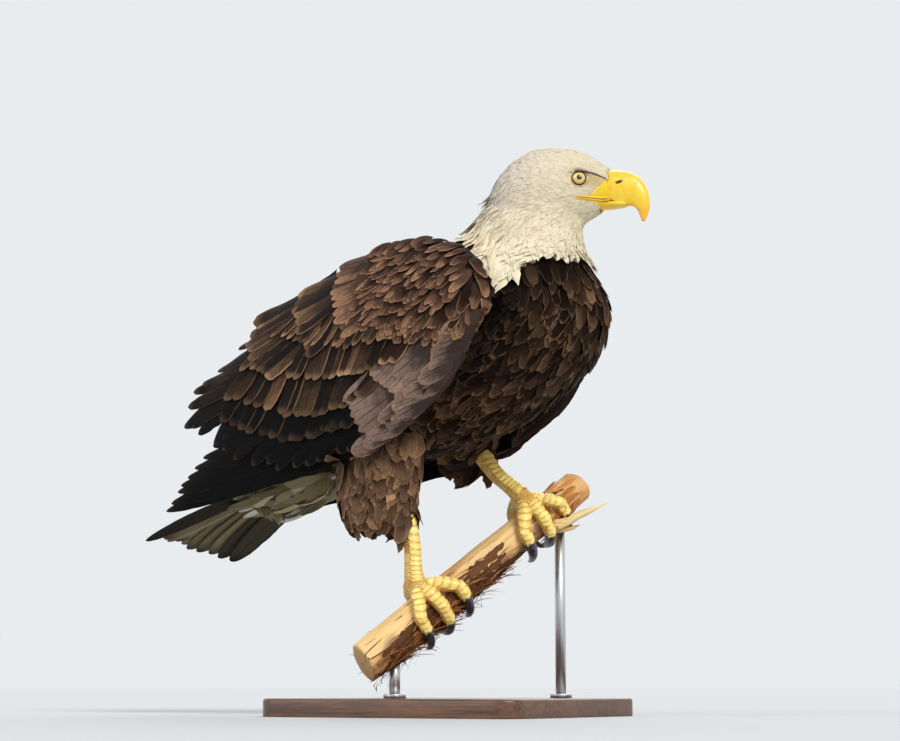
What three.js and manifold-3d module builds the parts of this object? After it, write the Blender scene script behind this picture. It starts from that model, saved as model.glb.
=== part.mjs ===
// A life-size bald eagle gripping a cut length of branch on a plain display stand.
// Millimetres: +X the way its body faces, +Y its left, +Z up.
// The origin is the centre of the stand base's underside.
import * as THREE from "three";
import { mergeVertices } from "three/addons/utils/BufferGeometryUtils.js";
import Module from "manifold-3d";

const wasm = await Module();
wasm.setup();

const point = (x, y, z) => new THREE.Vector3(x, y, z);
const sizes = (wide, above, below) => new THREE.Vector3(wide, above, below);

// Driving dimensions.
const gap = 0.3; // clearance between neighbouring pieces
const headTurn = THREE.MathUtils.degToRad(15); // to the bird's left
const headCentre = point(134, 0, 590);
const eyeRadius = 10.5;
const eyeCentre = point(38, 23.2, 1); // in the head's frame, left eye
const baseLength = 330;
const baseWidth = 290;
const baseThickness = 20;
const baseCorner = 26;
const baseEdge = 2.5;
const rodRadius = 6;
const branchRadius = 22;
const branchLow = point(-12, -50, 107); // two points of the branch's middle line
const branchHigh = point(60, 74, 215);
const branchEnds = { low: -82, high: 262 }; // distances along it from branchLow
const branchTaper = 0.0006; // of its radius, lost with each millimetre
const footPlaces = { right: 18, left: 190 };
const rodPlaces = { low: -34, high: 232 };

// ---- Shapes ---------------------------------------------------------------

const tiny = 1e-6;

// A closed body swept along a curve. Each section is an oval with its own width
// and its own heights above and below the curve; both ends are rounded over.
function lofted(shape, grow = 0) {
  const { path, section, up = point(0, 0, 1), sides = 16, steps = 12, round = [0.5, 0.5] } = shape;
  const curve = new THREE.CatmullRomCurve3(path, false, "centripetal");
  const girth = new THREE.CatmullRomCurve3(section, false, "centripetal");
  const ball = new THREE.SphereGeometry(1, sides, steps);
  const place = ball.getAttribute("position");
  for (let i = 0; i < place.count; i++) {
    const along = THREE.MathUtils.clamp((1 - place.getY(i)) / 2, 0, 1);
    const ring = Math.hypot(place.getX(i), place.getZ(i)) || 1;
    const across = place.getX(i) / ring;
    const lift = place.getZ(i) / ring;
    const size = girth.getPoint(along);
    const tangent = curve.getTangent(along);
    const side = new THREE.Vector3().crossVectors(up, tangent).normalize();
    const normal = new THREE.Vector3().crossVectors(tangent, side);
    const full = endRounding(along, round);
    const at = curve.getPoint(along);
    at.addScaledVector(side, across * (size.x + grow) * full);
    at.addScaledVector(normal, lift * ((lift > 0 ? size.y : size.z) + grow) * full);
    at.addScaledVector(tangent, grow * (2 * along - 1));
    place.setXYZ(i, at.x, at.y, at.z);
  }
  return solidOf(ball);
}

function endRounding(along, [first, last]) {
  const start = Math.min(along / first, 1);
  const end = Math.min((1 - along) / last, 1);
  return Math.sqrt(1 - (1 - start) ** 2) * Math.sqrt(1 - (1 - end) ** 2);
}

// Height of the middle of the trunk above a place on the floor, which the wings bend round.
const trunkMiddle = (x) => 392 + 0.46 * x;

// A closed blade between a lower and an upper edge that meet at both ends,
// bowed outwards from the middle of the trunk.
function blade(shape, grow = 0) {
  const { lower, upper, bow, thick, sides = 18, steps = 13 } = shape;
  const low = new THREE.CatmullRomCurve3(lower, false, "centripetal");
  const high = new THREE.CatmullRomCurve3(upper, false, "centripetal");
  const ball = new THREE.SphereGeometry(1, sides, steps);
  const place = ball.getAttribute("position");
  for (let i = 0; i < place.count; i++) {
    const along = THREE.MathUtils.clamp((1 - place.getY(i)) / 2, 0, 1);
    const ring = Math.hypot(place.getX(i), place.getZ(i));
    const across = ring > tiny ? place.getX(i) / ring : 0;
    const through = ring > tiny ? place.getZ(i) / ring : 0;
    const edgeLow = low.getPoint(along);
    const edgeHigh = high.getPoint(along);
    const span = new THREE.Vector3().subVectors(edgeHigh, edgeLow);
    const at = edgeLow.clone().addScaledVector(span, (1 + across) / 2);
    const out = point(0, at.y, 0.8 * (at.z - trunkMiddle(at.x))).normalize();
    const depth = THREE.MathUtils.lerp(thick[0], thick[1], along) * Math.min(ring * 1.6, 1);
    const skin = depth + grow * Math.min(ring * 9, 1);
    at.addScaledVector(out, bow * ring * (1 - across ** 2) + through * skin);
    at.addScaledVector(span.normalize(), across * grow);
    place.setXYZ(i, at.x, at.y, at.z);
  }
  return solidOf(ball);
}

// ---- Joining and cutting ----------------------------------------------------

const weld = 1e-3;

function solidOf(geometry) {
  const bare = new THREE.BufferGeometry().setIndex(geometry.index);
  bare.setAttribute("position", geometry.getAttribute("position"));
  const merged = mergeVertices(bare, weld);
  const corners = Array.from(merged.index.array);
  const faces = [];
  for (let i = 0; i < corners.length; i += 3) {
    const [a, b, c] = corners.slice(i, i + 3);
    if (a !== b && b !== c && c !== a) faces.push(a, b, c);
  }
  const build = (triangles) =>
    new wasm.Manifold(
      new wasm.Mesh({
        numProp: 3,
        vertProperties: merged.getAttribute("position").array,
        triVerts: new Uint32Array(triangles),
      }),
    );
  const made = build(faces);
  return made.volume() > 0 ? made : build(faces.reverse());
}

function largest(solid) {
  const pieces = solid.decompose().sort((a, b) => b.volume() - a.volume());
  return pieces[0];
}

const joined = (...solids) => solids.reduce((all, one) => all.add(one));
const without = (solid, ...cutters) => largest(cutters.reduce((left, one) => left.subtract(one), solid));

// The part of a solid on one side of a plane through a point; a plane's two sides keep the gap between them.
function beyond(solid, normal, at) {
  const unit = normal.clone().normalize();
  return solid.trimByPlane([unit.x, unit.y, unit.z], unit.dot(at) + gap / 2);
}

function geometryOf(solid) {
  const mesh = solid.getMesh();
  const geometry = new THREE.BufferGeometry();
  geometry.setAttribute("position", new THREE.BufferAttribute(Float32Array.from(mesh.vertProperties), 3));
  geometry.setIndex(Array.from(mesh.triVerts));
  geometry.computeVertexNormals();
  return geometry;
}

const finish = (color, roughness, metalness = 0) =>
  new THREE.MeshStandardMaterial({ color, roughness, metalness });
const materials = {
  darkPlumage: finish(0x3a2a20, 0.85),
  whitePlumage: finish(0xece6da, 0.85),
  bill: finish(0xe9b92c, 0.4),
  eye: finish(0xe8d98a, 0.15),
  legSkin: finish(0xe0a93a, 0.6),
  claw: finish(0x23211f, 0.35),
  branchWood: finish(0xc08a4a, 0.8),
  standWood: finish(0x3b2a1e, 0.45),
  rod: finish(0x8b8a86, 0.35, 1),
};

const eagle = new THREE.Group();

function add(name, solid, material) {
  const mesh = new THREE.Mesh(geometryOf(solid), material);
  mesh.name = name;
  eagle.add(mesh);
}

// ---- Trunk, neck and head -----------------------------------------------------

// From the breast back to the root of the tail; the curve runs through the middle of the body.
const trunkShape = {
  path: [
    point(204, 0, 446),
    point(150, 0, 440),
    point(80, 0, 424),
    point(0, 0, 400),
    point(-80, 0, 376),
    point(-160, 0, 342),
    point(-246, 0, 312),
  ],
  section: [
    sizes(56, 72, 52),
    sizes(86, 98, 70),
    sizes(101, 128, 97),
    sizes(104, 138, 104),
    sizes(96, 144, 92),
    sizes(66, 140, 60),
    sizes(30, 96, 22),
  ],
  sides: 22,
  steps: 15,
  round: [0.2, 0.32],
};

const neckShape = {
  path: [point(74, 0, 440), point(98, 0, 490), point(110, 0, 528), point(117, 0, 560), point(126, 0, 612)],
  section: [sizes(74, 66, 78), sizes(64, 80, 76), sizes(54, 78, 66), sizes(46, 68, 56), sizes(36, 52, 42)],
  up: point(-1, 0, 0),
  sides: 20,
  steps: 10,
  round: [0.3, 0.3],
};

// Head frame: +X along the bill, +Y the bird's left.
const headShape = {
  path: [
    point(-66, 0, -14),
    point(-44, 0, -9),
    point(-12, 0, -5),
    point(20, 0, -4),
    point(46, 0, -6),
    point(64, 0, -7),
    point(77, 0, -8),
  ],
  section: [
    sizes(26, 22, 26),
    sizes(36, 38, 40),
    sizes(41, 50, 48),
    sizes(37, 48, 46),
    sizes(27, 39, 36),
    sizes(19, 27, 24),
    sizes(14.5, 19, 17),
  ],
  sides: 18,
  steps: 13,
  round: [0.3, 0.1],
};

const upperBillShape = {
  path: [
    point(60, 0, -4),
    point(76, 0, -4.5),
    point(91, 0, -9),
    point(101.5, 0, -19),
    point(106.5, 0, -32),
    point(106, 0, -46.5),
  ],
  section: [
    sizes(15.5, 19, 17),
    sizes(13, 18, 17),
    sizes(9.8, 17.5, 20),
    sizes(6.8, 12, 11.5),
    sizes(4, 6.8, 6.2),
    sizes(1.6, 2.2, 2),
  ],
  up: point(1, 0, 1),
  sides: 12,
  steps: 14,
  round: [0.06, 0.12],
};

const lowerBillShape = {
  path: [point(36, 0, -23), point(56, 0, -24.5), point(74, 0, -25), point(89, 0, -25)],
  section: [sizes(15, 3.2, 4), sizes(13.5, 4, 5.5), sizes(10.5, 4, 5), sizes(6, 3, 3)],
  sides: 10,
  steps: 8,
  round: [0.15, 0.3],
};

// Moves a solid made in the head's frame to its place on the neck.
function onHead(solid) {
  const turned = solid.rotate([0, 0, THREE.MathUtils.radToDeg(headTurn)]);
  return turned.translate([headCentre.x, headCentre.y, headCentre.z]);
}

// The ridge of brow over each eye.
const browShape = (side) => ({
  path: [
    point(20, side * 31, 12),
    point(38, side * 30.5, 12.5),
    point(55, side * 22.5, 9.5),
    point(67, side * 15, 5),
  ],
  section: [sizes(3, 3, 3), sizes(4.5, 3.6, 3.2), sizes(4, 3.2, 3), sizes(2.5, 2.5, 2.5)],
  sides: 8,
  steps: 7,
});

function eyeBall(side, radius) {
  const ball = new THREE.SphereGeometry(radius, 12, 8);
  ball.rotateX(Math.PI / 2); // poles to the sides of the head
  ball.translate(eyeCentre.x, side * eyeCentre.y, eyeCentre.z);
  return solidOf(ball);
}

const upperBill = onHead(lofted(upperBillShape));
const lowerBill = without(onHead(lofted(lowerBillShape)), onHead(lofted(upperBillShape, gap)));
const bills = joined(onHead(lofted(upperBillShape, gap)), onHead(lofted(lowerBillShape, gap)));
const eyeSockets = [1, -1].map((side) => onHead(eyeBall(side, eyeRadius + gap)));

const brows = [1, -1].map((side) => lofted(browShape(side)));
const headWithBrows = onHead(joined(lofted(headShape), ...brows));
const wholeBody = joined(lofted(trunkShape), lofted(neckShape), headWithBrows);
const headForCutting = onHead(lofted(headShape, gap));
const bodyForCutting = joined(lofted(trunkShape, gap), lofted(neckShape, gap), headForCutting);

// The neck is parted from the head behind the jaw and from the trunk along the edge of the white hackles.
const headCut = { normal: point(0.3, 0, 1), at: point(120, 0, 562) };
const neckCut = { normal: point(0.32, 0, 1), at: point(112, 0, 518) };
const fromHead = beyond(wholeBody, headCut.normal, headCut.at);
const fromNeck = beyond(wholeBody, headCut.normal.clone().negate(), headCut.at);

add("head", without(fromHead, bills, ...eyeSockets), materials.whitePlumage);
add("neck", largest(beyond(fromNeck, neckCut.normal, neckCut.at)), materials.whitePlumage);
add("trunk", largest(beyond(wholeBody, neckCut.normal.clone().negate(), neckCut.at)), materials.darkPlumage);
add("bill_upper", upperBill, materials.bill);
add("bill_lower", lowerBill, materials.bill);
add("eye_left", onHead(eyeBall(1, eyeRadius)), materials.eye);
add("eye_right", onHead(eyeBall(-1, eyeRadius)), materials.eye);

// ---- Wings --------------------------------------------------------------------

// The folded arm with its coverts, secondaries and tertials, from the wrist back over the rump.
const armShape = (side) => ({
  lower: [
    point(124, side * 108, 455),
    point(109, side * 124, 402),
    point(62, side * 127, 350),
    point(-24, side * 118, 303),
    point(-140, side * 100, 284),
    point(-250, side * 82, 306),
    point(-340, side * 56, 350),
  ],
  upper: [
    point(124, side * 108, 455),
    point(104, side * 98, 500),
    point(20, side * 66, 536),
    point(-80, side * 34, 543),
    point(-172, side * 12, 518),
    point(-266, side * 10, 470),
    point(-340, side * 56, 350),
  ],
  bow: 30,
  thick: [15, 9],
});

// The long primaries that pass under the secondaries and end beside the tail.
const primaryShape = (side) => ({
  lower: [
    point(-40, side * 106, 318),
    point(-90, side * 104, 282),
    point(-200, side * 84, 262),
    point(-300, side * 62, 248),
    point(-376, side * 46, 240),
  ],
  upper: [
    point(-40, side * 106, 318),
    point(-130, side * 94, 350),
    point(-280, side * 68, 332),
    point(-332, side * 57, 292),
    point(-376, side * 46, 240),
  ],
  bow: 6,
  thick: [8, 5],
  sides: 12,
  steps: 9,
});

function wing(side, grow = 0) {
  const whole = joined(blade(armShape(side), grow), blade(primaryShape(side), grow));
  if (grow) return whole;
  return beyond(without(whole, bodyForCutting), point(0, side, 0), point(0, (side * gap) / 2, 0));
}

const wingsForCutting = [1, -1].map((side) => wing(side, gap));
add("wing_left", largest(wing(1)), materials.darkPlumage);
add("wing_right", largest(wing(-1)), materials.darkPlumage);

// ---- Tail -----------------------------------------------------------------------

const tailShape = {
  path: [point(-166, 0, 298), point(-236, 2, 264), point(-318, 3, 232), point(-398, 3, 203)],
  section: [sizes(38, 18, 34), sizes(50, 12, 20), sizes(66, 6, 8), sizes(83, 4, 4)],
  up: point(0, 0.23, 1), // rolled a little, its left edge lower
  sides: 16,
  steps: 12,
  round: [0.2, 0.1],
};

add("tail", without(lofted(tailShape), bodyForCutting, ...wingsForCutting), materials.whitePlumage);

// ---- Branch ---------------------------------------------------------------------

const branchAxis = new THREE.Vector3().subVectors(branchHigh, branchLow).normalize();
const alongBranch = (distance) => branchLow.clone().addScaledVector(branchAxis, distance);

// Directions square to the branch: forwards over its top, and straight out of its top.
const overBranch = new THREE.Vector3().crossVectors(branchAxis, point(0, 0, 1)).normalize();
const outOfBranch = new THREE.Vector3().crossVectors(overBranch, branchAxis).normalize();

function branch(grow = 0) {
  const length = branchEnds.high - branchEnds.low;
  const rod = new THREE.CylinderGeometry(1, 1, 1, 12, 10);
  const place = rod.getAttribute("position");
  for (let i = 0; i < place.count; i++) {
    const distance = branchEnds.low + length / 2 + place.getY(i) * (length + 2 * grow);
    const taper = 1 - branchTaper * distance + 0.02 * Math.sin(distance / 23);
    const radius = (branchRadius * taper + grow) * Math.hypot(place.getX(i), place.getZ(i));
    const turn = Math.atan2(place.getZ(i), place.getX(i));
    const at = alongBranch(distance);
    at.addScaledVector(overBranch, radius * Math.cos(turn));
    at.addScaledVector(outOfBranch, radius * Math.sin(turn));
    place.setXYZ(i, at.x, at.y, at.z);
  }
  return solidOf(rod);
}

const branchForCutting = branch(gap);
add("perch_branch", branch(), materials.branchWood);

// ---- Legs and feet -----------------------------------------------------------------

const legs = {
  right: {
    thigh: {
      path: [point(-34, -58, 352), point(-48, -66, 300), point(-52, -67, 250), point(-47, -66, 201)],
      section: [sizes(36, 62, 60), sizes(37, 64, 60), sizes(33, 58, 56), sizes(26, 50, 51)],
      round: [0.3, 0.14],
    },
    hock: [point(-24, -65, 240), point(-12, -63, 197)],
  },
  left: {
    thigh: {
      path: [point(-16, 56, 372), point(-20, 62, 338), point(-15, 63, 306), point(-6, 61, 278)],
      section: [sizes(36, 60, 60), sizes(37, 56, 56), sizes(32, 48, 47), sizes(25, 36, 35)],
      round: [0.3, 0.18],
    },
    hock: [point(4, 59, 304), point(26, 57, 277)],
  },
};

// Toes: how far each spreads along the branch, how far round it reaches (degrees) and its thickness.
const toes = {
  inner: { spread: 34, from: 14, reach: 116, radius: 9.4 },
  middle: { spread: 3, from: 16, reach: 138, radius: 9.4 },
  outer: { spread: -27, from: 14, reach: 118, radius: 8.6 },
  hind: { spread: 5, from: -2, reach: -104, radius: 10 },
};
const heelTurn = 12; // degrees forwards of the branch's top where the leg comes down
const heelHeight = 15;
const clawReach = 62; // degrees further round the branch
const clawRoot = 6; // degrees that a claw starts back inside its toe
const clawRise = 5; // how far the claw's tip stays out from the wood

// A place beside the branch: distance along it, degrees round from its top, and height above its surface.
function besideBranch(distance, degrees, height) {
  const turn = THREE.MathUtils.degToRad(degrees);
  const radius = branchRadius * (1 - branchTaper * distance) + height;
  const at = alongBranch(distance);
  at.addScaledVector(overBranch, radius * Math.sin(turn));
  return at.addScaledVector(outOfBranch, radius * Math.cos(turn));
}

function toeShape(distance, side, { spread, from, reach, radius }) {
  const path = [0, 0.3, 0.65, 1].map((part) => {
    const along = distance - side * spread * Math.min(1, part * 1.6);
    return besideBranch(along, from + (reach - from) * part, radius * (1.1 - 0.25 * part));
  });
  const section = [1, 0.95, 0.85, 0.66].map((part) => sizes(radius * part, radius * part, radius * part));
  return { path, section, up: branchAxis, sides: 8, steps: 8, round: [0.14, 0.14] };
}

// The pad under the leg, where the toes meet.
function padShape(distance) {
  const path = [-22, heelTurn, 46].map((degrees) => besideBranch(distance, degrees, 9));
  const section = [sizes(9, 9, 9), sizes(14, 12, 12), sizes(10, 9, 9)];
  return { path, section, up: branchAxis, sides: 8, steps: 5 };
}

function clawShape(distance, side, { spread, reach, radius }) {
  const along = distance - side * spread;
  const turn = Math.sign(reach) * clawReach;
  const start = reach - Math.sign(reach) * clawRoot;
  const path = [0, 0.35, 0.7, 1].map((part) =>
    besideBranch(along, start + turn * part, radius * (0.85 - 0.15 * part) + clawRise * part),
  );
  const section = [0.62, 0.5, 0.3, 0.08].map((part) => sizes(radius * part, radius * part, radius * part));
  return { path, section, up: branchAxis, sides: 6, steps: 6, round: [0.1, 0.1] };
}

for (const [name, leg] of Object.entries(legs)) {
  const side = name === "left" ? 1 : -1;
  const distance = footPlaces[name];
  const heel = besideBranch(distance, heelTurn, heelHeight);
  const thighShape = { ...leg.thigh, up: point(-1, 0, 0), sides: 14, steps: 10 };
  const tarsusShape = {
    path: [...leg.hock, leg.hock[1].clone().lerp(heel, 0.6), heel],
    section: [sizes(10, 11.5, 11.5), sizes(9.6, 11, 11), sizes(9.8, 11, 11), sizes(12.5, 13.5, 12.5)],
    up: point(1, 0, 0),
    sides: 10,
    steps: 7,
    round: [0.1, 0.15],
  };
  const thigh = without(lofted(thighShape), bodyForCutting, ...wingsForCutting);
  const grownThigh = lofted(thighShape, gap);
  const tarsus = without(lofted(tarsusShape), grownThigh, branchForCutting);
  add(`thigh_${name}`, thigh, materials.darkPlumage);
  add(`tarsus_${name}`, tarsus, materials.legSkin);

  const claws = Object.entries(toes).map(([toe, sizesOfToe]) => ({
    toe,
    solid: without(lofted(clawShape(distance, side, sizesOfToe)), branchForCutting),
    grown: lofted(clawShape(distance, side, sizesOfToe), gap),
  }));
  const toeSolids = Object.values(toes).map((toe) => lofted(toeShape(distance, side, toe)));
  toeSolids.push(lofted(padShape(distance)));
  const foot = without(
    joined(...toeSolids),
    branchForCutting,
    lofted(tarsusShape, gap),
    grownThigh,
    ...claws.map((claw) => claw.grown),
  );
  add(`foot_${name}`, foot, materials.legSkin);
  claws.forEach((claw) => add(`claw_${name}_${claw.toe}`, claw.solid, materials.claw));
}

// ---- Stand ---------------------------------------------------------------------------

function standBase() {
  const outline = new THREE.Shape();
  const x = baseLength / 2;
  const y = baseWidth / 2;
  outline.moveTo(x, y - baseCorner);
  outline.absarc(x - baseCorner, y - baseCorner, baseCorner, 0, Math.PI / 2);
  outline.absarc(baseCorner - x, y - baseCorner, baseCorner, Math.PI / 2, Math.PI);
  outline.absarc(baseCorner - x, baseCorner - y, baseCorner, Math.PI, 1.5 * Math.PI);
  outline.absarc(x - baseCorner, baseCorner - y, baseCorner, 1.5 * Math.PI, 2 * Math.PI);
  const slab = new THREE.ExtrudeGeometry(outline, {
    depth: baseThickness - baseEdge,
    bevelThickness: baseEdge,
    bevelSize: baseEdge,
    bevelOffset: -baseEdge,
    bevelSegments: 1,
    curveSegments: 5,
  });
  const wholeSlab = solidOf(slab);
  return wholeSlab.trimByPlane([0, 0, 1], 0);
}

// An upright rod from the base to the underside of the branch.
function standRod(distance) {
  const axis = alongBranch(distance);
  const top = axis.z;
  const rod = new THREE.CylinderGeometry(rodRadius, rodRadius, top - baseThickness - gap, 20);
  rod.rotateX(Math.PI / 2);
  rod.translate(axis.x, axis.y, (top + baseThickness + gap) / 2);
  return without(solidOf(rod), branchForCutting);
}

add("stand_base", standBase(), materials.standWood);
add("stand_rod_low", standRod(rodPlaces.low), materials.rod);
add("stand_rod_high", standRod(rodPlaces.high), materials.rod);

export default eagle;
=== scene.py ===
import math

import bmesh
import bpy
import numpy as np
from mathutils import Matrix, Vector
from mathutils.bvhtree import BVHTree
from mathutils.kdtree import KDTree


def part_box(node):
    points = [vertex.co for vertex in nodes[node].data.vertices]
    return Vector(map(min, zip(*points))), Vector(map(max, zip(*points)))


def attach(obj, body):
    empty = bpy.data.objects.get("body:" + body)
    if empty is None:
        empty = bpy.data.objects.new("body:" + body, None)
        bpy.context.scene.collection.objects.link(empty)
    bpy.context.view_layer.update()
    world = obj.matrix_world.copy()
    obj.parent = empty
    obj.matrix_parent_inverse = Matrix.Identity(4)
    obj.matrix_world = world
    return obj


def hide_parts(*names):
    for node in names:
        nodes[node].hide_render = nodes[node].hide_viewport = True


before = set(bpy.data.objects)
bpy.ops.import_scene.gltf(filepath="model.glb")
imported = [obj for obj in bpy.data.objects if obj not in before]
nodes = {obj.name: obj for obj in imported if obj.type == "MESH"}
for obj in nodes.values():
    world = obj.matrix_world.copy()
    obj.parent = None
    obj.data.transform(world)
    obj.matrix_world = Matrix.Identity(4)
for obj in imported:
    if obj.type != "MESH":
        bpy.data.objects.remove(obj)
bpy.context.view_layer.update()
scene = bpy.context.scene
scene.view_settings.view_transform = "Standard"
chance = np.random.default_rng(7)
sides = {"right": -1, "left": 1}  # which way along y

# ---- small helpers


def smooth(low, high, value):
    t = np.clip((np.asarray(value, float) - low) / (high - low), 0, 1)
    return t * t * (3 - 2 * t)


def unit(vectors):
    vectors = np.asarray(vectors, float)
    return vectors / np.maximum(np.linalg.norm(vectors, axis=-1, keepdims=True), 1e-9)


def mix(a, b, share):
    return np.asarray(a, float) * (1 - share) + np.asarray(b, float) * share


def bell(value, width):
    # 1 where the value is 0, falling away to nothing over about two widths
    return np.exp(-((np.asarray(value) / width) ** 2))


def paint(red, green, blue):
    # a colour as a paint chart gives it, 0 to 255, as the linear values that shaders use
    chart = np.array([red, green, blue]) / 255
    return np.where(chart <= 0.04045, chart / 12.92, ((chart + 0.055) / 1.055) ** 2.4)


def curveAt(points, share):
    # smooth curve through a few points, at 0 to 1 along it
    points = np.asarray(points, float)
    share = np.asarray(share, float)
    count = len(points) - 1
    place = np.clip(share * count, 0, count - 1e-9)
    first = place.astype(int)
    t = (place - first)[..., None]
    padded = np.concatenate([[2 * points[0] - points[1]], points, [2 * points[-1] - points[-2]]])
    a, b, c, d = (padded[first + k] for k in range(4))
    return b + 0.5 * t * (c - a + t * (2 * a - 5 * b + 4 * c - d + t * (3 * (b - c) + d - a)))


def link(name, data):
    piece = bpy.data.objects.new(name, data)
    scene.collection.objects.link(piece)
    return piece


def meshOf(bm, name):
    mesh = bpy.data.meshes.new(name)
    bm.to_mesh(mesh)
    bm.free()
    return mesh


def finishPiece(name, bm, material, replaced=()):
    mesh = meshOf(bm, name)
    mesh.shade_smooth()
    piece = link(name, mesh)
    mesh.materials.append(material)
    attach(piece, "root")
    if replaced:
        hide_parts(*replaced)
    return piece


def readOut(items, key, wide=1, kind=float):
    # one property of many vertices, edges or faces, a row for each
    values = np.zeros(len(items) * wide, kind)
    items.foreach_get(key, values)
    return values.reshape(-1, wide)


def boxOf(name):
    low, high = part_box(name)
    return np.array(low), np.array(high)


# ---- camera, floor and light

view = {"azimuth": 32, "elevation": -9, "distance": 2.3, "target": (0, 0, 0.392), "lens": 80}


def wayFrom(azimuth, elevation):
    turn, tilt = math.radians(azimuth), math.radians(elevation)
    return Vector((math.sin(turn) * math.cos(tilt), -math.cos(turn) * math.cos(tilt), math.sin(tilt)))


def placeCamera():
    back = wayFrom(view["azimuth"], view["elevation"])
    camera = link("camera", bpy.data.cameras.new("camera"))
    camera.location = Vector(view["target"]) + back * view["distance"]
    camera.rotation_euler = back.to_track_quat("Z", "Y").to_euler()
    camera.data.lens = view["lens"]
    camera.data.sensor_width = 36
    camera.data.clip_start = 0.05
    scene.camera = camera


studio = {
    "floor": paint(208, 210, 212),
    "shown": paint(233, 236, 239),  # what the camera sees behind, near the lit floor's own tone
    "reach": 40.0,  # half the floor's width
    "lamps": {
        # azimuth and elevation it shines from, in degrees, strength, width in degrees and tint
        "key": {"from": (58, 36), "power": 2.1, "width": 22, "tint": (1.0, 0.97, 0.92)},
        "fill": {"from": (-35, 24), "power": 0.75, "width": 40, "tint": (0.95, 0.97, 1.0)},
        "back": {"from": (205, 38), "power": 0.9, "width": 40, "tint": (1.0, 1.0, 1.0)},
    },
    "world": 0.55,
}


def makeStudio():
    bm = bmesh.new()
    bmesh.ops.create_grid(bm, x_segments=1, y_segments=1, size=studio["reach"])
    floor = link("floor", meshOf(bm, "floor"))
    sheet = Sheet("floor", 0.9, Specular_IOR_Level=0.2)
    floor.data.materials.append(sheet.done((*studio["floor"], 1)))
    for name, values in studio["lamps"].items():
        lamp = link(name, bpy.data.lights.new(name, "SUN"))
        way = wayFrom(*values["from"])
        lamp.location = way * 3
        lamp.rotation_euler = way.to_track_quat("Z", "Y").to_euler()
        lamp.data.energy = values["power"]
        lamp.data.angle = math.radians(values["width"])
        lamp.data.color = values["tint"]
    world = bpy.data.worlds.new("studio")
    scene.world = world
    sky = Sky(world)
    light = sky.tree.nodes["Background"]
    light.inputs["Color"].default_value = (0.93, 0.96, 1.0, 1)
    light.inputs["Strength"].default_value = studio["world"]
    shown = sky.add("Background", {"Color": (*studio["shown"], 1)})
    rays = sky.add("LightPath").outputs
    seen = sky.math("MAXIMUM", rays["Is Camera Ray"], rays["Is Glossy Ray"])
    seen = sky.math("MAXIMUM", seen, rays["Is Transmission Ray"])
    pick = sky.add("MixShader", {0: seen, 1: light.outputs[0], 2: shown.outputs[0]})
    sky.put(pick.outputs[0], sky.tree.nodes["World Output"].inputs[0])


# ---- materials


class Sheet:
    # a material's node tree, with short ways to add to it
    def __init__(self, name, roughness=0.6, **sockets):
        self.material = bpy.data.materials.new(name)
        self.material.use_nodes = True
        self.tree = self.material.node_tree
        self.shader = self.tree.nodes["Principled BSDF"]
        self.shader.inputs["Roughness"].default_value = roughness
        for socket, value in sockets.items():
            self.shader.inputs[socket.replace("_", " ")].default_value = value

    def add(self, kind, links=None, **values):
        node = self.tree.nodes.new("ShaderNode" + kind)
        for key, value in values.items():
            setattr(node, key, value)
        for socket, source in (links or {}).items():
            self.put(source, node.inputs[socket])
        return node

    def put(self, source, socket):
        if isinstance(source, bpy.types.NodeSocket):
            self.tree.links.new(source, socket)
        else:
            socket.default_value = source

    def math(self, operation, *values):
        node = self.add("Math", operation=operation)
        for i, value in enumerate(values):
            self.put(value, node.inputs[i])
        return node.outputs[0]

    def times(self, *values):
        return self.math("MULTIPLY", *values)

    def range(self, value, low, high, start=0.0, end=1.0):
        node = self.add("MapRange", {0: value, 1: low, 2: high, 3: start, 4: end})
        node.interpolation_type = "SMOOTHSTEP"
        return node.outputs[0]

    def blend(self, share, first, second, mode="MIX"):
        node = self.add("Mix", data_type="RGBA", blend_type=mode)
        self.put(share, node.inputs[0])
        self.put(first if isinstance(first, bpy.types.NodeSocket) else (*first, 1), node.inputs[6])
        self.put(second if isinstance(second, bpy.types.NodeSocket) else (*second, 1), node.inputs[7])
        return node.outputs[2]

    def wash(self, colour, value, low, high, over, share=1.0):
        # lays another colour over where a value runs from low to high
        return self.blend(self.range(value, low, high, 0.0, share), colour, over)

    def noise(self, where, scale, detail=3.0, roughness=0.55, stretch=None):
        if stretch:
            where = self.add("Mapping", {"Vector": where, "Scale": stretch}).outputs[0]
        links = {"Vector": where, "Scale": scale, "Detail": detail, "Roughness": roughness}
        return self.add("TexNoise", links).outputs[0]

    def here(self):
        return self.add("TexCoord").outputs["Object"]

    def stored(self, name, output="Color"):
        return self.add("Attribute", attribute_name=name).outputs[output]

    def lay(self, name):
        return self.add("UVMap", uv_map=name).outputs[0]

    def bump(self, height, distance, strength=1.0, under=None):
        links = {"Height": height, "Distance": distance, "Strength": strength}
        if under:
            links["Normal"] = under
        return self.add("Bump", links).outputs[0]

    def done(self, colour=None, normal=None, roughness=None):
        for socket, value in (("Base Color", colour), ("Normal", normal), ("Roughness", roughness)):
            if value is not None:
                self.put(value, self.shader.inputs[socket])
        return self.material


class Sky(Sheet):
    # the same short ways, for the world's nodes
    def __init__(self, world):
        world.use_nodes = True
        self.tree = world.node_tree


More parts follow.
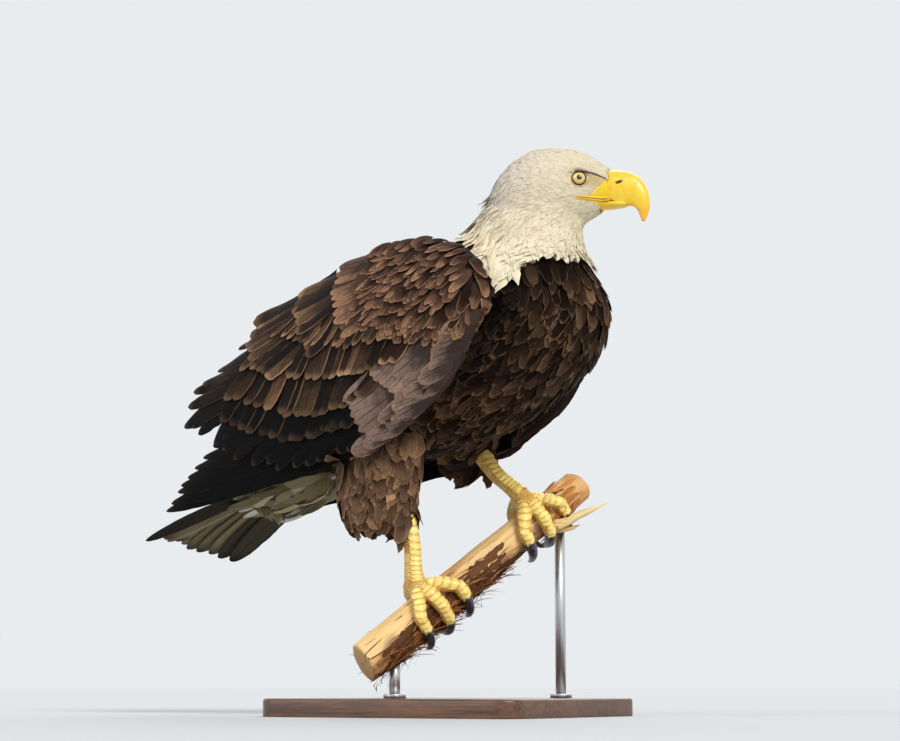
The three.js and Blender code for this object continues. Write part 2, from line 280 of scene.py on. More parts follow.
def featherMaterial(name, look):
    sheet = Sheet(name, look["roughness"], Specular_IOR_Level=0.05)
    split = sheet.add("SeparateXYZ", {0: sheet.lay("vane")})
    across = sheet.math("ABSOLUTE", sheet.math("MULTIPLY_ADD", split.outputs[0], 2.0, -1.0))
    along = split.outputs[1]
    tint = sheet.add("Attribute", attribute_name="tint")
    colour = tint.outputs["Color"]
    # barbs slant from the shaft to the edge
    slant = sheet.math("MULTIPLY_ADD", along, look["barbs"], sheet.times(across, -0.32 * look["barbs"]))
    wander = sheet.times(sheet.noise(sheet.here(), 260.0, 2.0), 6.0)
    rib = sheet.math("SINE", sheet.math("ADD", slant, wander))
    shaft = sheet.range(across, 0.11, 0.03)
    edge = sheet.range(across, 1.0 - look["fringeWidth"], 1.0)
    tip = sheet.range(along, 1.0 - 0.5 * look["fringeWidth"], 1.0)
    rim = sheet.times(sheet.math("MAXIMUM", edge, tip), sheet.range(along, 0.3, 0.7))
    mottle = sheet.noise(sheet.here(), 420.0, 4.0, 0.6)
    patches = sheet.noise(sheet.here(), 95.0, 3.0, 0.6)
    darker = sheet.blend(1.0, colour, look["dark"], "MULTIPLY")
    # dark towards the root: partly the feather's own darker base, partly painted shade where the rows
    # overlap
    reach = sheet.math("ADD", along, sheet.math("MULTIPLY_ADD", patches, 0.5, -0.25))
    base = sheet.wash(darker, reach, *look["faded"], colour)
    base = sheet.blend(sheet.math("MULTIPLY_ADD", rib, 0.14, 0.18), base, darker)
    base = sheet.wash(base, mottle, 0.38, 0.8, darker, 0.55)
    base = sheet.blend(sheet.times(shaft, look["shaft"]), base, darker)
    base = sheet.blend(sheet.times(rim, tint.outputs["Alpha"]), base, look["fringe"])
    if "above" in look:
        # painted shade: the underside keeps the duller olive tint and the upper side turns to the tail's
        # own white, as light from above would show it
        facing = sheet.add("SeparateXYZ", {0: sheet.add("NewGeometry").outputs["Normal"]}).outputs[2]
        base = sheet.blend(sheet.times(sheet.range(facing, 0.0, 0.5), 0.55), base, look["above"])
    normal = sheet.bump(sheet.math("MULTIPLY_ADD", shaft, 1.2, rib), 0.0003, 0.6)
    return sheet.done(base, normal)


brown = {
    "body": paint(31, 19, 13),
    "wing": paint(60, 39, 30),
    "shoulder": paint(164, 118, 95),
    "band": paint(156, 130, 116),
    "flight": paint(14, 12, 13),
    "thigh": paint(104, 78, 61),
    "faded": paint(176, 136, 100),
    "fringe": paint(190, 150, 112),
}
white = {
    "neck": paint(254, 241, 210),
    # napeShade is painted shade for the back of the head
    "napeShade": paint(222, 213, 204),
    "streak": paint(206, 180, 140),
    # tail and tailShade are painted shade, the dull and olive tones of a white tail's underside; tailTop
    # is its own white
    "tail": paint(192, 179, 142),
    "tailShade": paint(92, 78, 50),
    "tailMark": paint(36, 29, 24),
    "tailTop": paint(236, 231, 218),
    "fringe": paint(246, 243, 236),
}
yellow = {
    "bill": paint(242, 206, 46), "tip": paint(244, 184, 44), "leg": paint(255, 230, 132),
    "legDeep": paint(246, 184, 68), "lore": paint(226, 194, 124), "lid": paint(50, 40, 36),
    # brow is painted shade for the dark edge under the brow
    "brow": paint(98, 78, 60),
}

vaneLooks = {
    # barbs, width of the pale rim, where along the feather its dark root ends, and how dark that is; the
    # dark root is partly the feather's own darker base and partly painted shade where rows overlap
    "covert": {
        "roughness": 0.62, "barbs": 190.0, "fringeWidth": 0.24, "faded": (0.5, 0.92), "shaft": 0.8,
        "dark": (0.17, 0.16, 0.17), "fringe": brown["fringe"],
    },
    "flight": {
        "roughness": 0.5, "barbs": 420.0, "fringeWidth": 0.10, "faded": (0.5, 1.0), "shaft": 0.8,
        "dark": (0.42, 0.40, 0.42), "fringe": brown["fringe"],
    },
    "body": {
        "roughness": 0.68, "barbs": 90.0, "fringeWidth": 0.30, "faded": (0.45, 0.9), "shaft": 0.6,
        "dark": (0.36, 0.34, 0.34), "fringe": brown["fringe"],
    },
    "white": {
        "roughness": 0.7, "barbs": 60.0, "fringeWidth": 0.2, "faded": (0.0, 0.4), "shaft": 0.25,
        "dark": (0.86, 0.83, 0.78), "fringe": white["fringe"],
    },
    "tail": {
        "roughness": 0.6, "barbs": 420.0, "fringeWidth": 0.26, "faded": (-0.2, 0.3), "shaft": 0.7,
        "dark": (0.55, 0.5, 0.42), "fringe": white["tailMark"], "above": white["tailTop"],
    },
}

# ---- shapes swept along a line


def swept(shape, around, steps):
    # a grid rolled up into a closed skin: shape gives places from the shares round and along
    bm = bmesh.new()
    bmesh.ops.create_grid(bm, x_segments=around, y_segments=steps, size=1)
    grid = np.array([v.co for v in bm.verts])
    for v, place in zip(bm.verts, shape((grid[:, 0] + 1) / 2, (grid[:, 1] + 1) / 2)):
        v.co = place
    bmesh.ops.remove_doubles(bm, verts=bm.verts, dist=2e-6)
    bmesh.ops.recalc_face_normals(bm, faces=bm.faces)
    return bm


def oval(turn, along):
    return np.cos(turn), np.sin(turn)


def loft(path, sizes, up, around=24, steps=30, profile=oval, ends=(0.06, 0.06), swell=None):
    # a limb along a path: its sizes are wide, above and below, and both of its ends are rounded over
    path = np.asarray(path, float)
    sizes = np.asarray(sizes, float)
    fine = np.linspace(0, 1, 201)
    line = curveAt(path, fine)
    runs = unit(np.gradient(line, axis=0))

    def shape(round, along):
        middle = curveAt(path, along)
        size = curveAt(sizes, along)
        run = unit(np.stack([np.interp(along, fine, runs[:, k]) for k in range(3)], 1))
        side = unit(np.cross(up, run))
        over = np.cross(run, side)
        first = np.clip(along / ends[0], 0, 1)
        last = np.clip((1 - along) / ends[1], 0, 1)
        full = np.sqrt(1 - (1 - first) ** 2) * np.sqrt(1 - (1 - last) ** 2)
        if swell is not None:
            full = full * swell(round, along)
        across, lift = profile(2 * np.pi * round, along)
        height = np.where(lift > 0, size[:, 1], size[:, 2])
        place = middle + side * (across * size[:, 0] * full)[:, None]
        return place + over * (lift * height * full)[:, None]

    return swept(shape, around, steps)


def gathered(*parts):
    # several meshes in one
    whole = bmesh.new()
    for bm in parts:
        mesh = meshOf(bm, "part")
        whole.from_mesh(mesh)
        bpy.data.meshes.remove(mesh)
    return whole


def coloured(mesh, name, colour, strength=1.0):
    # a colour for each vertex, and a fourth number for the material to use
    if colour.shape[1] == 3:
        colour = np.column_stack([colour, np.broadcast_to(strength, len(colour))])
    mesh.color_attributes.new(name, "FLOAT_COLOR", "POINT").data.foreach_set("color", colour.ravel())


# ---- the skin that the feathers stand on

flesh = ["head", "neck", "trunk", "tail", "wing_right", "wing_left", "thigh_right", "thigh_left"]
legNodes = ["tarsus_right", "tarsus_left", "foot_right", "foot_left"]
skinLook = {
    "voxel": 0.0034,
    "legVoxel": 0.0015,
    "overlap": 0.0009,
    "smoothing": (14, 3),  # passes over the body and over the head
    # how deep the coat is
    "coat": {
        "head": 0.0016, "neck": 0.0045, "trunk": 0.0085, "tail": 0.006, "wing": 0.0075, "thigh": 0.009,
    },
    "leg": 0.0008,
}


def nodeCopy(name):
    bm = bmesh.new()
    bm.from_mesh(nodes[name].data)
    bmesh.ops.remove_doubles(bm, verts=bm.verts, dist=1e-6)
    return bm


def surfaceOf(names):
    # one search tree over several nodes, with the node of each of its faces
    points, faces, owner = [], [], []
    for number, name in enumerate(names):
        bm = nodeCopy(name)
        bmesh.ops.triangulate(bm, faces=bm.faces)
        start = len(points)
        points += [v.co.copy() for v in bm.verts]
        faces += [[start + v.index for v in face.verts] for face in bm.faces]
        owner += [number] * (len(faces) - len(owner))
        bm.free()
    return BVHTree.FromPolygons(points, faces), np.array(owner)


def remeshed(bm, size):
    rough = link("rough", meshOf(bm, "rough"))
    change = rough.modifiers.new("voxels", "REMESH")
    change.mode = "VOXEL"
    change.voxel_size = size
    mesh = bpy.data.meshes.new_from_object(rough.evaluated_get(bpy.context.evaluated_depsgraph_get()))
    bpy.data.objects.remove(rough)
    result = bmesh.new()
    result.from_mesh(mesh)
    bpy.data.meshes.remove(mesh)
    return result


def shrinkTowards(bm, core, start, end, least):
    # flight feathers alone make the far parts of wings and tail, so the flesh there draws back
    for v in bm.verts:
        share = 1 - (1 - least) * float(smooth(start, end, v.co.x))
        v.co = core + (v.co - core) * share


def fleshShell():
    parts = []
    for name in flesh:
        bm = nodeCopy(name)
        low, high = boxOf(name)
        if name.startswith("wing"):
            side = 1 if name.endswith("left") else -1
            core = Vector((mix(high[0], low[0], 0.46), side * 0.07, mix(low[2], high[2], 0.55)))
            shrinkTowards(bm, core, mix(high[0], low[0], 0.4), mix(high[0], low[0], 0.95), 0.25)
        if name == "tail":
            core = Vector((mix(high[0], low[0], 0.1), 0, mix(high[2], low[2], 0.2)))
            shrinkTowards(bm, core, mix(high[0], low[0], 0.15), low[0], 0.35)
        bm.normal_update()
        for v in bm.verts:
            v.co += v.normal * skinLook["overlap"]
        parts.append(bm)
    return remeshed(gathered(*parts), skinLook["voxel"])


def softened(bm, verts):
    bmesh.ops.smooth_vert(bm, verts=verts, factor=0.5, use_axis_x=True, use_axis_y=True, use_axis_z=True)


def insetShell(bm):
    # draws the shell in by the coat's depth, less where the body is thin
    surface, owner = surfaceOf(flesh)
    tree = BVHTree.FromBMesh(bm)
    bm.normal_update()
    depths = [skinLook["coat"].get(name.split("_")[0]) for name in flesh]
    places = []
    for v in bm.verts:
        inward = -v.normal
        hit = tree.ray_cast(v.co + inward * 2e-4, inward, 0.08)
        room = hit[3] if hit[0] else 0.08
        found = surface.find_nearest(v.co)
        places.append(v.co + inward * min(depths[owner[found[2]]], 0.3 * room))
    for v, place in zip(bm.verts, places):
        v.co = place
    body, face = skinLook["smoothing"]
    faceFoot = boxOf("eye_right")[0][2] - 0.03
    for i in range(body):
        softened(bm, bm.verts if i < face else [v for v in bm.verts if v.co.z < faceFoot])


def unwrapped(mesh):
    # lays the skin's own shape flat, in a map that the coat's patches share
    holder = link("flat", mesh)
    bpy.context.view_layer.objects.active = holder
    holder.select_set(True)
    mesh.uv_layers.new(name="OFBake")
    bpy.ops.object.mode_set(mode="EDIT")
    bpy.ops.mesh.select_all(action="SELECT")
    bpy.ops.uv.smart_project(angle_limit=math.radians(72), island_margin=0.002)
    bpy.ops.object.mode_set(mode="OBJECT")
    bpy.data.objects.remove(holder)


class Skin:
    # the feathered body's surface: nearest points, normals, parts of the body and places on its map
    def __init__(self, mesh, kinds):
        self.mesh = mesh
        self.kinds = kinds  # 0 feathered, 1 leg, 2 lid, 3 dark brow edge of painted shade
        mesh.calc_loop_triangles()
        self.points = readOut(mesh.vertices, "co", 3)
        self.faces = readOut(mesh.loop_triangles, "vertices", 3, int)
        loops = readOut(mesh.loop_triangles, "loops", 3, int)
        self.map = readOut(mesh.uv_layers["OFBake"].data, "uv", 2)[loops]
        self.normals = readOut(mesh.vertices, "normal", 3)
        self.tree = BVHTree.FromPolygons(self.points.tolist(), self.faces.tolist())
        self.owners, self.owner = surfaceOf(flesh)
        a, b, c, crossed = self.corners(slice(None))
        self.faceMiddles = (a + b + c) / 3
        self.faceAreas = np.linalg.norm(crossed, axis=1) / 2
        self.faceNormals = unit(crossed)
        self.faceParts = np.where(self.kinds[self.faces[:, 0]] == 0, self.part(self.faceMiddles), -1)

    def corners(self, index):
        # the corners of triangles, and the way across each, as long as twice its area
        a, b, c = (self.points[self.faces[index, k]] for k in range(3))
        return a, b, c, np.cross(b - a, c - a)

    def shares(self, points, index):
        # how much of each corner of its triangle a point has
        a, b, c, whole = self.corners(index)
        size = np.maximum((whole * whole).sum(1), 1e-18)
        first = (np.cross(b - points, c - points) * whole).sum(1) / size
        second = (np.cross(c - points, a - points) * whole).sum(1) / size
        both = np.clip(np.stack([first, second, 1 - first - second], 1), 0, 1)
        return both / both.sum(1, keepdims=True)

    def nearest(self, points):
        found = [self.tree.find_nearest(p) for p in points.tolist()]
        places = np.array([f[0] for f in found])
        index = np.array([f[2] for f in found])
        share = self.shares(places, index)
        normals = unit((self.normals[self.faces[index]] * share[:, :, None]).sum(1))
        return places, normals, index, share

    def mapPlace(self, index, share):
        return (self.map[index] * share[:, :, None]).sum(1)

    def mapUnder(self, points):
        return self.mapPlace(*self.nearest(points)[2:])

    def part(self, points):
        return self.owner[[self.owners.find_nearest(p)[2] for p in points.tolist()]]


# ---- feathers: thin closed vanes, laid along the skin or between two places


def vaneTemplate(rows, columns):
    # one vane as a pattern: across -1 to 1, along 0 to 1, and over or under
    bm = bmesh.new()
    bmesh.ops.create_grid(bm, x_segments=columns, y_segments=rows, size=1)
    under = bmesh.ops.duplicate(bm, geom=bm.verts[:] + bm.edges[:] + bm.faces[:])["geom"]
    below = [item for item in under if isinstance(item, bmesh.types.BMVert)]
    bmesh.ops.reverse_faces(bm, faces=[item for item in under if isinstance(item, bmesh.types.BMFace)])
    for v in bm.verts:
        inner = abs(v.co.x) < 0.999 and abs(v.co.y) < 0.999
        v.co.z = 1.0 if inner else 0.0
    for v in below:
        v.co.z = -v.co.z
    bmesh.ops.remove_doubles(bm, verts=bm.verts, dist=1e-4)
    bm.normal_update()
    place = np.array([v.co for v in bm.verts])
    faces = np.array([[v.index for v in face.verts] for face in bm.faces])
    bm.free()
    row = np.rint((place[:, 1] + 1) / 2 * rows).astype(int)
    return {"across": place[:, 0], "row": row, "over": place[:, 2], "faces": faces, "rows": rows}


templates = {
    "tuft": vaneTemplate(5, 2),
    "body": vaneTemplate(7, 4),
    "covert": vaneTemplate(12, 6),
    "flight": vaneTemplate(30, 8),
    "plate": vaneTemplate(4, 8),
}


vaneShapes = {
    # width at the root, where it is full, how square and blunt the tip is, taper, and the tip's width
    "body": (0.35, 0.35, 3.2, 0.5, 0, 0.05),
    "square": (0.3, 0.3, 9, 0.5, 0, 0.12),
    "round": (0.3, 0.3, 5, 0.5, 0, 0.06),
    "tail": (0.35, 0.6, 7, 0.6, 0, 0.06),
    "flight": (0.3, 0.2, 4, 0.5, 0.35, 0.03),
}


def outline(kind, along):
    # half the vane's width along its length, as a share of its widest
    if kind == "hackle":
        return np.sin(np.pi * np.clip(along * 0.86 + 0.14, 0, 1)) ** 0.8 * (1 - along ** 3 * 0.3) + 0.03
    if kind == "plate":
        return 0.9 * np.clip(1 - along ** 7, 0, 1) ** 0.4 + 0.1
    if kind == "strip":
        return (0.5 + 0.5 * smooth(0, 0.15, along)) * (1 - 0.75 * along ** 3)
    start, full, square, blunt, taper, least = vaneShapes[kind]
    rounded = np.clip(1 - along ** square, 0, 1) ** blunt
    return (start + (1 - start) * smooth(0, full, along)) * rounded * (1 - taper * along) + least


def spacing(template, crowd):
    # rows stand closer together near the tip
    return 1 - (1 - np.arange(template["rows"] + 1) / template["rows"]) ** crowd


usualCrowd = 1.35
bakePatch = 0.003  # each vane's size on the shared map


def between(roots, tips, along):
    return roots[:, None] * (1 - along[None, :, None]) + tips[:, None] * along[None, :, None]


def vanes(pattern, kind, spine, normals, width, thick, camber, tint, root,
          roll=0.0, ragged=0.1, crowd=usualCrowd, split=0.0):
    # the corners, faces and maps of many vanes of one pattern, laid on their spines
    template = templates[pattern]
    count = len(spine)
    along = spacing(template, crowd)
    row = template["row"]
    across = template["across"]
    tangent = unit(np.gradient(spine, axis=1))
    level = unit(np.cross(normals, tangent))
    upright = np.cross(tangent, level)
    lean = np.broadcast_to(roll, (count,))[:, None, None]
    aside = level * np.cos(lean) + upright * np.sin(lean)
    up = upright * np.cos(lean) - level * np.sin(lean)
    half = (width[:, None] * outline(kind, along)[None, :])[:, row]
    edge = np.abs(across) > 0.999
    jitter = chance.normal(0, ragged, (count, len(row))) * edge
    half = half * (1 + jitter)
    lift = template["over"] * thick * 0.5 * (1 - 0.6 * along[row])
    lift = lift - camber * half * np.abs(across) ** 1.6
    place = spine[:, row] + aside[:, row] * (across * half)[:, :, None] + up[:, row] * lift[:, :, None]
    length = np.linalg.norm(spine[:, -1] - spine[:, 0], axis=1)
    shift = chance.normal(0, 1, (count, len(row))) * edge * (split * length / template["rows"])[:, None]
    place = place + tangent[:, row] * shift[:, :, None]
    faces = template["faces"][None] + (np.arange(count) * len(row))[:, None, None]
    lay = np.stack([(across + 1) / 2, along[row]], 1)
    bake = root[:, None, :] + (lay[None] - 0.5) * bakePatch
    return {
        "points": place.reshape(-1, 3),
        "faces": faces.reshape(-1, 4),
        "vane": np.tile(lay, (count, 1)),
        "bake": bake.reshape(-1, 2),
        "tint": np.repeat(tint, len(row), 0),
        "rim": np.tile(template["over"] == 0, count),
    }


def featherPiece(name, batches, material):
    starts = np.cumsum([0] + [len(batch["points"]) for batch in batches])
    faces = np.concatenate([batch["faces"] + start for batch, start in zip(batches, starts)])
    keys = ("points", "vane", "bake", "tint", "rim")
    whole = {key: np.concatenate([batch[key] for batch in batches]) for key in keys}
    mesh = bpy.data.meshes.new(name)
    mesh.vertices.add(len(whole["points"]))
    mesh.vertices.foreach_set("co", whole["points"].ravel())
    mesh.loops.add(faces.size)
    mesh.loops.foreach_set("vertex_index", faces.ravel())
    mesh.polygons.add(len(faces))
    mesh.polygons.foreach_set("loop_start", np.arange(len(faces)) * 4)
    mesh.update(calc_edges=True)
    mesh.shade_smooth()
    rim = whole["rim"][readOut(mesh.edges, "vertices", 2, int)].all(1)
    mesh.attributes.new("sharp_edge", "BOOLEAN", "EDGE").data.foreach_set("value", rim)
    for layer, key in (("OFBake", "bake"), ("vane", "vane")):
        lay = mesh.uv_layers.new(name=layer)
        lay.data.foreach_set("uv", whole[key][faces.ravel()].ravel())
    coloured(mesh, "tint", whole["tint"])
    piece = link(name, mesh)
    mesh.materials.append(material)
    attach(piece, "root")
    print(name, len(faces) * 2, "triangles")
    return piece


def scatter(skin, parts, spacingAt, keep, seed):
    # places on the skin, evenly apart by a distance that changes over the body
    dice = np.random.default_rng(seed)
    wanted = np.isin(skin.faceParts, [flesh.index(part) for part in parts])
    wanted &= keep(skin.faceMiddles, skin.faceNormals)
    index = np.flatnonzero(wanted)
    weight = skin.faceAreas[index] / spacingAt(skin.faceMiddles[index]) ** 2
    count = int(weight.sum() * 5)
    chosen = dice.choice(index, count, p=weight / weight.sum())
    share = dice.dirichlet((1, 1, 1), count)
    places = (skin.points[skin.faces[chosen]] * share[:, :, None]).sum(1)
    gap = spacingAt(places)
    tree = KDTree(count)
    for i, place in enumerate(places.tolist()):
        tree.insert(place, i)
    tree.balance()
    free = np.ones(count, bool)
    kept = []
    for i in range(count):
        if free[i]:
            kept.append(i)
            free[[found[1] for found in tree.find_range(places[i], gap[i])]] = False
    return places[kept]


def evenly(gap):
    return lambda places: np.full(len(places), gap)


def layOnSkin(skin, pattern, places, flow, length, low, high, cling, stray):
    # spines that run over the skin from their roots, rising from one height to another
    template = templates[pattern]
    along = spacing(template, usualCrowd)
    turn = chance.normal(0, stray, len(places))[:, None]
    spine, normals = [], []
    current = places
    up = None
    for k in range(template["rows"] + 1):
        ground, normal, index, share = skin.nearest(current)
        if k == 0:
            root = skin.mapPlace(index, share)
            up = normal
        sunk = ((current - ground) * normal).sum(1) < 0
        hold = np.where(sunk, np.maximum(cling, 0.9), cling)[:, None]
        current = current * (1 - hold) + ground * hold
        up = unit(up * (1 - hold) + normal * hold)
        heading = flow(current)
        heading = unit(heading - (heading * up).sum(1, keepdims=True) * up)
        heading = heading * np.cos(turn) + np.cross(up, heading) * np.sin(turn)
        spine.append(current)
        normals.append(up)
        if k < template["rows"]:
            current = current + heading * (length * (along[k + 1] - along[k]))[:, None]
    spine = np.stack(spine, 1)
    normals = np.stack(normals, 1)
    low = np.broadcast_to(low, len(places))[:, None]
    rise = low + (high[:, None] - low) * along[None, :] ** 0.9
    return spine + normals * rise[:, :, None], normals, root


# ---- where the body's parts are, read off the frame

eyeRight, eyeLeft = (sum(boxOf(name)) / 2 for name in ("eye_right", "eye_left"))
eyeSize = float(np.subtract(*boxOf("eye_right")[::-1])[2]) / 2
headLeft = unit(eyeLeft - eyeRight)
headUp = np.array([0.0, 0.0, 1.0])
headAhead = np.cross(headLeft, headUp)
eyesMiddle = (eyeLeft + eyeRight) / 2


def onHead(ahead, left, up):
    # a place given in millimetres from the point midway between the eyes
    return eyesMiddle + (headAhead * ahead + headLeft * left + headUp * up) / 1000


def headPlaces(places):
    # back to millimetres ahead, left and up of the point between the eyes
    away = (np.asarray(places) - eyesMiddle) * 1000
    return away @ headAhead, away @ headLeft, away @ headUp


billRoot = onHead(26, 0, -8)
neckLow = boxOf("neck")[0]
trunkLow, trunkHigh = boxOf("trunk")
tailLow, tailHigh = boxOf("tail")
shoulderMiddle = np.array([neckLow[0] + 0.07, 0, neckLow[2] + 0.03])
neckDown = unit(np.array([-0.34, 0, -0.94]))
tailward = unit(np.array([-0.93, 0, -0.37]))


whiteLook = {
    # degrees round from the breast's middle, how high the hackles' tips end there, and how far they hang
    "turn": (0, 14, 24, 31, 43, 50, 56, 63, 73, 91, 112, 135, 150, 180),
    "tips": (-7, -12, -16, -20, -40, -50, -47, -40, -31, -18, -10, 9, 18, 20),
    "hang": (22, 22, 24, 27, 30, 32, 32, 32, 32, 31, 29, 26, 24, 24),
    "tuft": (0.075, -0.021, 0.590),  # a few hackles stand up here
}


def aboveWhite(places):
    # how far above the white's lower edge a hackle is rooted: the edge dips on the breast's sides
    x, y, z = places.T
    line = (z - neckLow[2] - 0.022) + 0.32 * (x - neckLow[0] - 0.08)
    turn = np.degrees(np.arctan2(np.abs(y), x - neckLow[0] - 0.04))
    edge = np.interp(turn, whiteLook["turn"], np.add(whiteLook["tips"], whiteLook["hang"]))
    return line - edge / 1000


def whiteEdge(places):
    # 1 along the lower edge of the white, where the hackles are longest
    return smooth(0.035, 0.0, aboveWhite(places))


def whiteTail(places):
    behind = mix(trunkHigh[0], trunkLow[0], 0.76) - places[:, 0]
    under = mix(trunkHigh[2], trunkLow[2], 0.62) - places[:, 2]
    return (behind > 0) & (under + 0.5 * behind > 0) | (behind > 0.085)


def bareFace(places):
    # the soft yellow skin behind the bill, down to the corner of the mouth
    ahead, left, up = headPlaces(places)
    top = np.interp(ahead, [-4, 14, 25, 34, 40], [-20.5, -16.5, -6, 6, 12])
    foot = np.interp(ahead, [-4, 10, 26, 40], [-22.5, -25, -30, -33])
    inside = np.minimum(top - up, up - foot)
    inside = np.where((np.abs(left) < 8) & (up < -26), -9, inside)
    return smooth(-0.6, 0.6, np.where((ahead > -5) & (np.abs(left) < 34), inside, -9))


def loreMark(places):
    # tan skin and bristles between eye and bill, and round the eye
    ahead, left, up = headPlaces(places)
    lore = bell(up + 3 + 0.12 * (ahead - 10), 5.5) * smooth(3, 12, ahead) * (np.abs(left) > 6)
    nearest = np.minimum(*(np.linalg.norm(places - eye, axis=1) for eye in (eyeLeft, eyeRight))) * 1000
    ring = bell(nearest - 11.5, 1.8) * 0.2
    return np.clip(np.maximum(lore * smooth(60, 40, ahead), ring), 0, 1) * smooth(60, 45, nearest)


def headFlow(places):
    away = places - billRoot
    distance = np.linalg.norm(away, axis=1, keepdims=True)
    down = mix(neckDown, unit(places - shoulderMiddle - [0, 0, 0.08]) * [0.4, 0.8, 0.2], 0.35)
    # the long hackles gather into pointed locks
    turn = np.arctan2(places[:, 1], places[:, 0] - neckLow[0] - 0.04)
    lock = 0.42 * np.sin(21 * turn + 30 * places[:, 2]) * smooth(0.06, 0.01, aboveWhite(places))
    aside = np.stack([-np.sin(turn), np.cos(turn), np.zeros(len(turn))], 1)
    return mix(unit(away), down + aside * lock[:, None], smooth(0.065, 0.15, distance))


def bodyFlow(places):
    away = places - shoulderMiddle - [0, 0, 0.07]
    distance = np.linalg.norm(away, axis=1, keepdims=True)
    return mix(unit(away), tailward, smooth(0.12, 0.28, distance))


def thighFlow(places):
    return np.tile([-0.2, 0.0, -1.0], (len(places), 1))


def tinted(colour, count, spread, fringe, other=None, share=None):
    # a colour for each feather, a little lighter or darker than its neighbours', with its rim's strength
    base = np.tile(np.asarray(colour, float), (count, 1))
    if other is not None:
        base = mix(base, other, np.asarray(share).reshape(-1, 1))
    base = base * np.exp(chance.normal(0, spread, (count, 1)))
    rim = np.clip(np.asarray(fringe) * chance.uniform(0.4, 1.3, count), 0, 1)
    return np.concatenate([np.clip(base, 0, 1), rim.reshape(-1, 1)], 1)


def retint(tint, colour, share):
    tint[:, :3] = mix(tint[:, :3], colour, share[:, None])


# ---- eyes

eyeLook = {"ahead": 18, "pupil": 0.0028, "iris": 0.0073, "cornea": 0.0062, "bulge": 0.0007}


def gaze(side):
    turn = math.radians(eyeLook["ahead"])
    return headLeft * side * math.cos(turn) + headAhead * math.sin(turn)


def eyeMaterial():
    sheet = Sheet("eye", 0.08, Coat_Weight=1.0, Coat_Roughness=0.02)
    off = sheet.stored("off", "Fac")
    rays = sheet.noise(sheet.lay("iris"), 26.0, 3.0, 0.7)
    pupil, rim = eyeLook["pupil"], eyeLook["iris"]
    iris = sheet.wash(paint(244, 226, 148), off, pupil, rim * 0.85, paint(226, 190, 92))
    iris = sheet.wash(iris, rays, 0.4, 0.65, paint(176, 140, 66), 0.5)
    iris = sheet.wash(iris, off, rim * 0.86, rim, paint(28, 22, 20))
    edge = sheet.math("MULTIPLY_ADD", rays, 0.0002, pupil)
    beyond = sheet.math("SUBTRACT", off, edge)
    return sheet.done(sheet.wash(iris, beyond, 0.0002, -0.00005, paint(8, 7, 8)))


def makeEye(name, side, material):
    centre = eyeLeft if side > 0 else eyeRight
    axis = Vector(gaze(side))
    bm = bmesh.new()
    bmesh.ops.create_uvsphere(bm, u_segments=48, v_segments=28, radius=eyeSize - 0.0002)
    off = bm.verts.layers.float.new("off")
    lay = bm.loops.layers.uv.new("iris")
    for v in bm.verts:
        radius = math.hypot(v.co.x, v.co.y)
        v[off] = radius if v.co.z > 0 else eyeSize
        if v.co.z > 0:
            v.co.z += eyeLook["bulge"] * float(smooth(eyeLook["cornea"], 0, radius))
    for face in bm.faces:
        for loop in face.loops:
            flat = loop.vert.co.xy
            flat = flat.normalized() if flat.length > 1e-6 else flat
            loop[lay].uv = (0.5 + 0.5 * flat.x, 0.5 + 0.5 * flat.y)
    bmesh.ops.rotate(bm, verts=bm.verts, cent=(0, 0, 0), matrix=axis.to_track_quat("Z", "Y").to_matrix())
    bmesh.ops.translate(bm, verts=bm.verts, vec=Vector(centre))
    finishPiece("eyeball_" + name, bm, material, ["eye_" + name])


# ---- bill

billLook = {
    # millimetres from the point between the eyes: ahead, left, up
    "path": [(19, 0, -5), (38, 0, -5.5), (53, 0, -10), (63.5, 0, -20), (68.5, 0, -33), (68, 0, -47.5)],
    "sizes": [(14.6, 18.3, 17), (12.8, 18, 17.6), (9.6, 17.3, 19.6),
              (6.8, 11.8, 13.6), (4.2, 7.0, 7.8), (1.1, 1.6, 1.7)],
    "lowerPath": [(-2, 0, -24), (18, 0, -25.5), (38, 0, -26), (55, 0, -26.2)],
    "lowerSizes": [(15, 3.2, 4), (13.2, 4, 5.3), (9.8, 3.8, 4.8), (5, 2.8, 3.0)],
    "cere": 46,  # how far ahead the soft skin of its base reaches
    "nostril": (43, -3.2),
    "nostrilSize": (4.8, 1.8),
    "nostrilSlant": (0.94, 0.34),
    "wall": 0.56,  # how much of the lower half is the straight side
    "hollow": 0.42,
}


def billProfile(turn, along):
    # rounded above, straight sides down to a sharp edge, and hollow below
    across, lift = np.cos(turn), np.sin(turn)
    below = lift < 0
    part = np.where(below, np.arcsin(np.clip(-lift, 0, 1)) / (np.pi / 2), 0)
    full = billLook["wall"]
    wall = np.clip(part / full, 0, 1)
    inward = np.clip((part - full) / 0.44, 0, 1)
    wallAcross = np.where(part < full, 1 - 0.30 * wall ** 1.6, 0.70 * (1 - inward))
    wallLift = np.where(part < full, -wall, -1 + billLook["hollow"] * smooth(0, 0.8, inward))
    hook = smooth(0.52, 0.9, along)
    side = np.sign(across)
    wide = np.where(below, mix(side * wallAcross, across, hook), side * np.abs(across) ** 1.12)
    return wide, np.where(below, mix(wallLift, lift, hook), lift)


def billSwell(round, along):
    # the cere stands a little proud of the horn, and the edge has a lobe before the hook
    lobe = 0.012 * np.sin(np.pi * np.clip((along - 0.4) / 0.25, 0, 1))
    return 1 + 0.022 * smooth(0.36, 0.31, along) + lobe


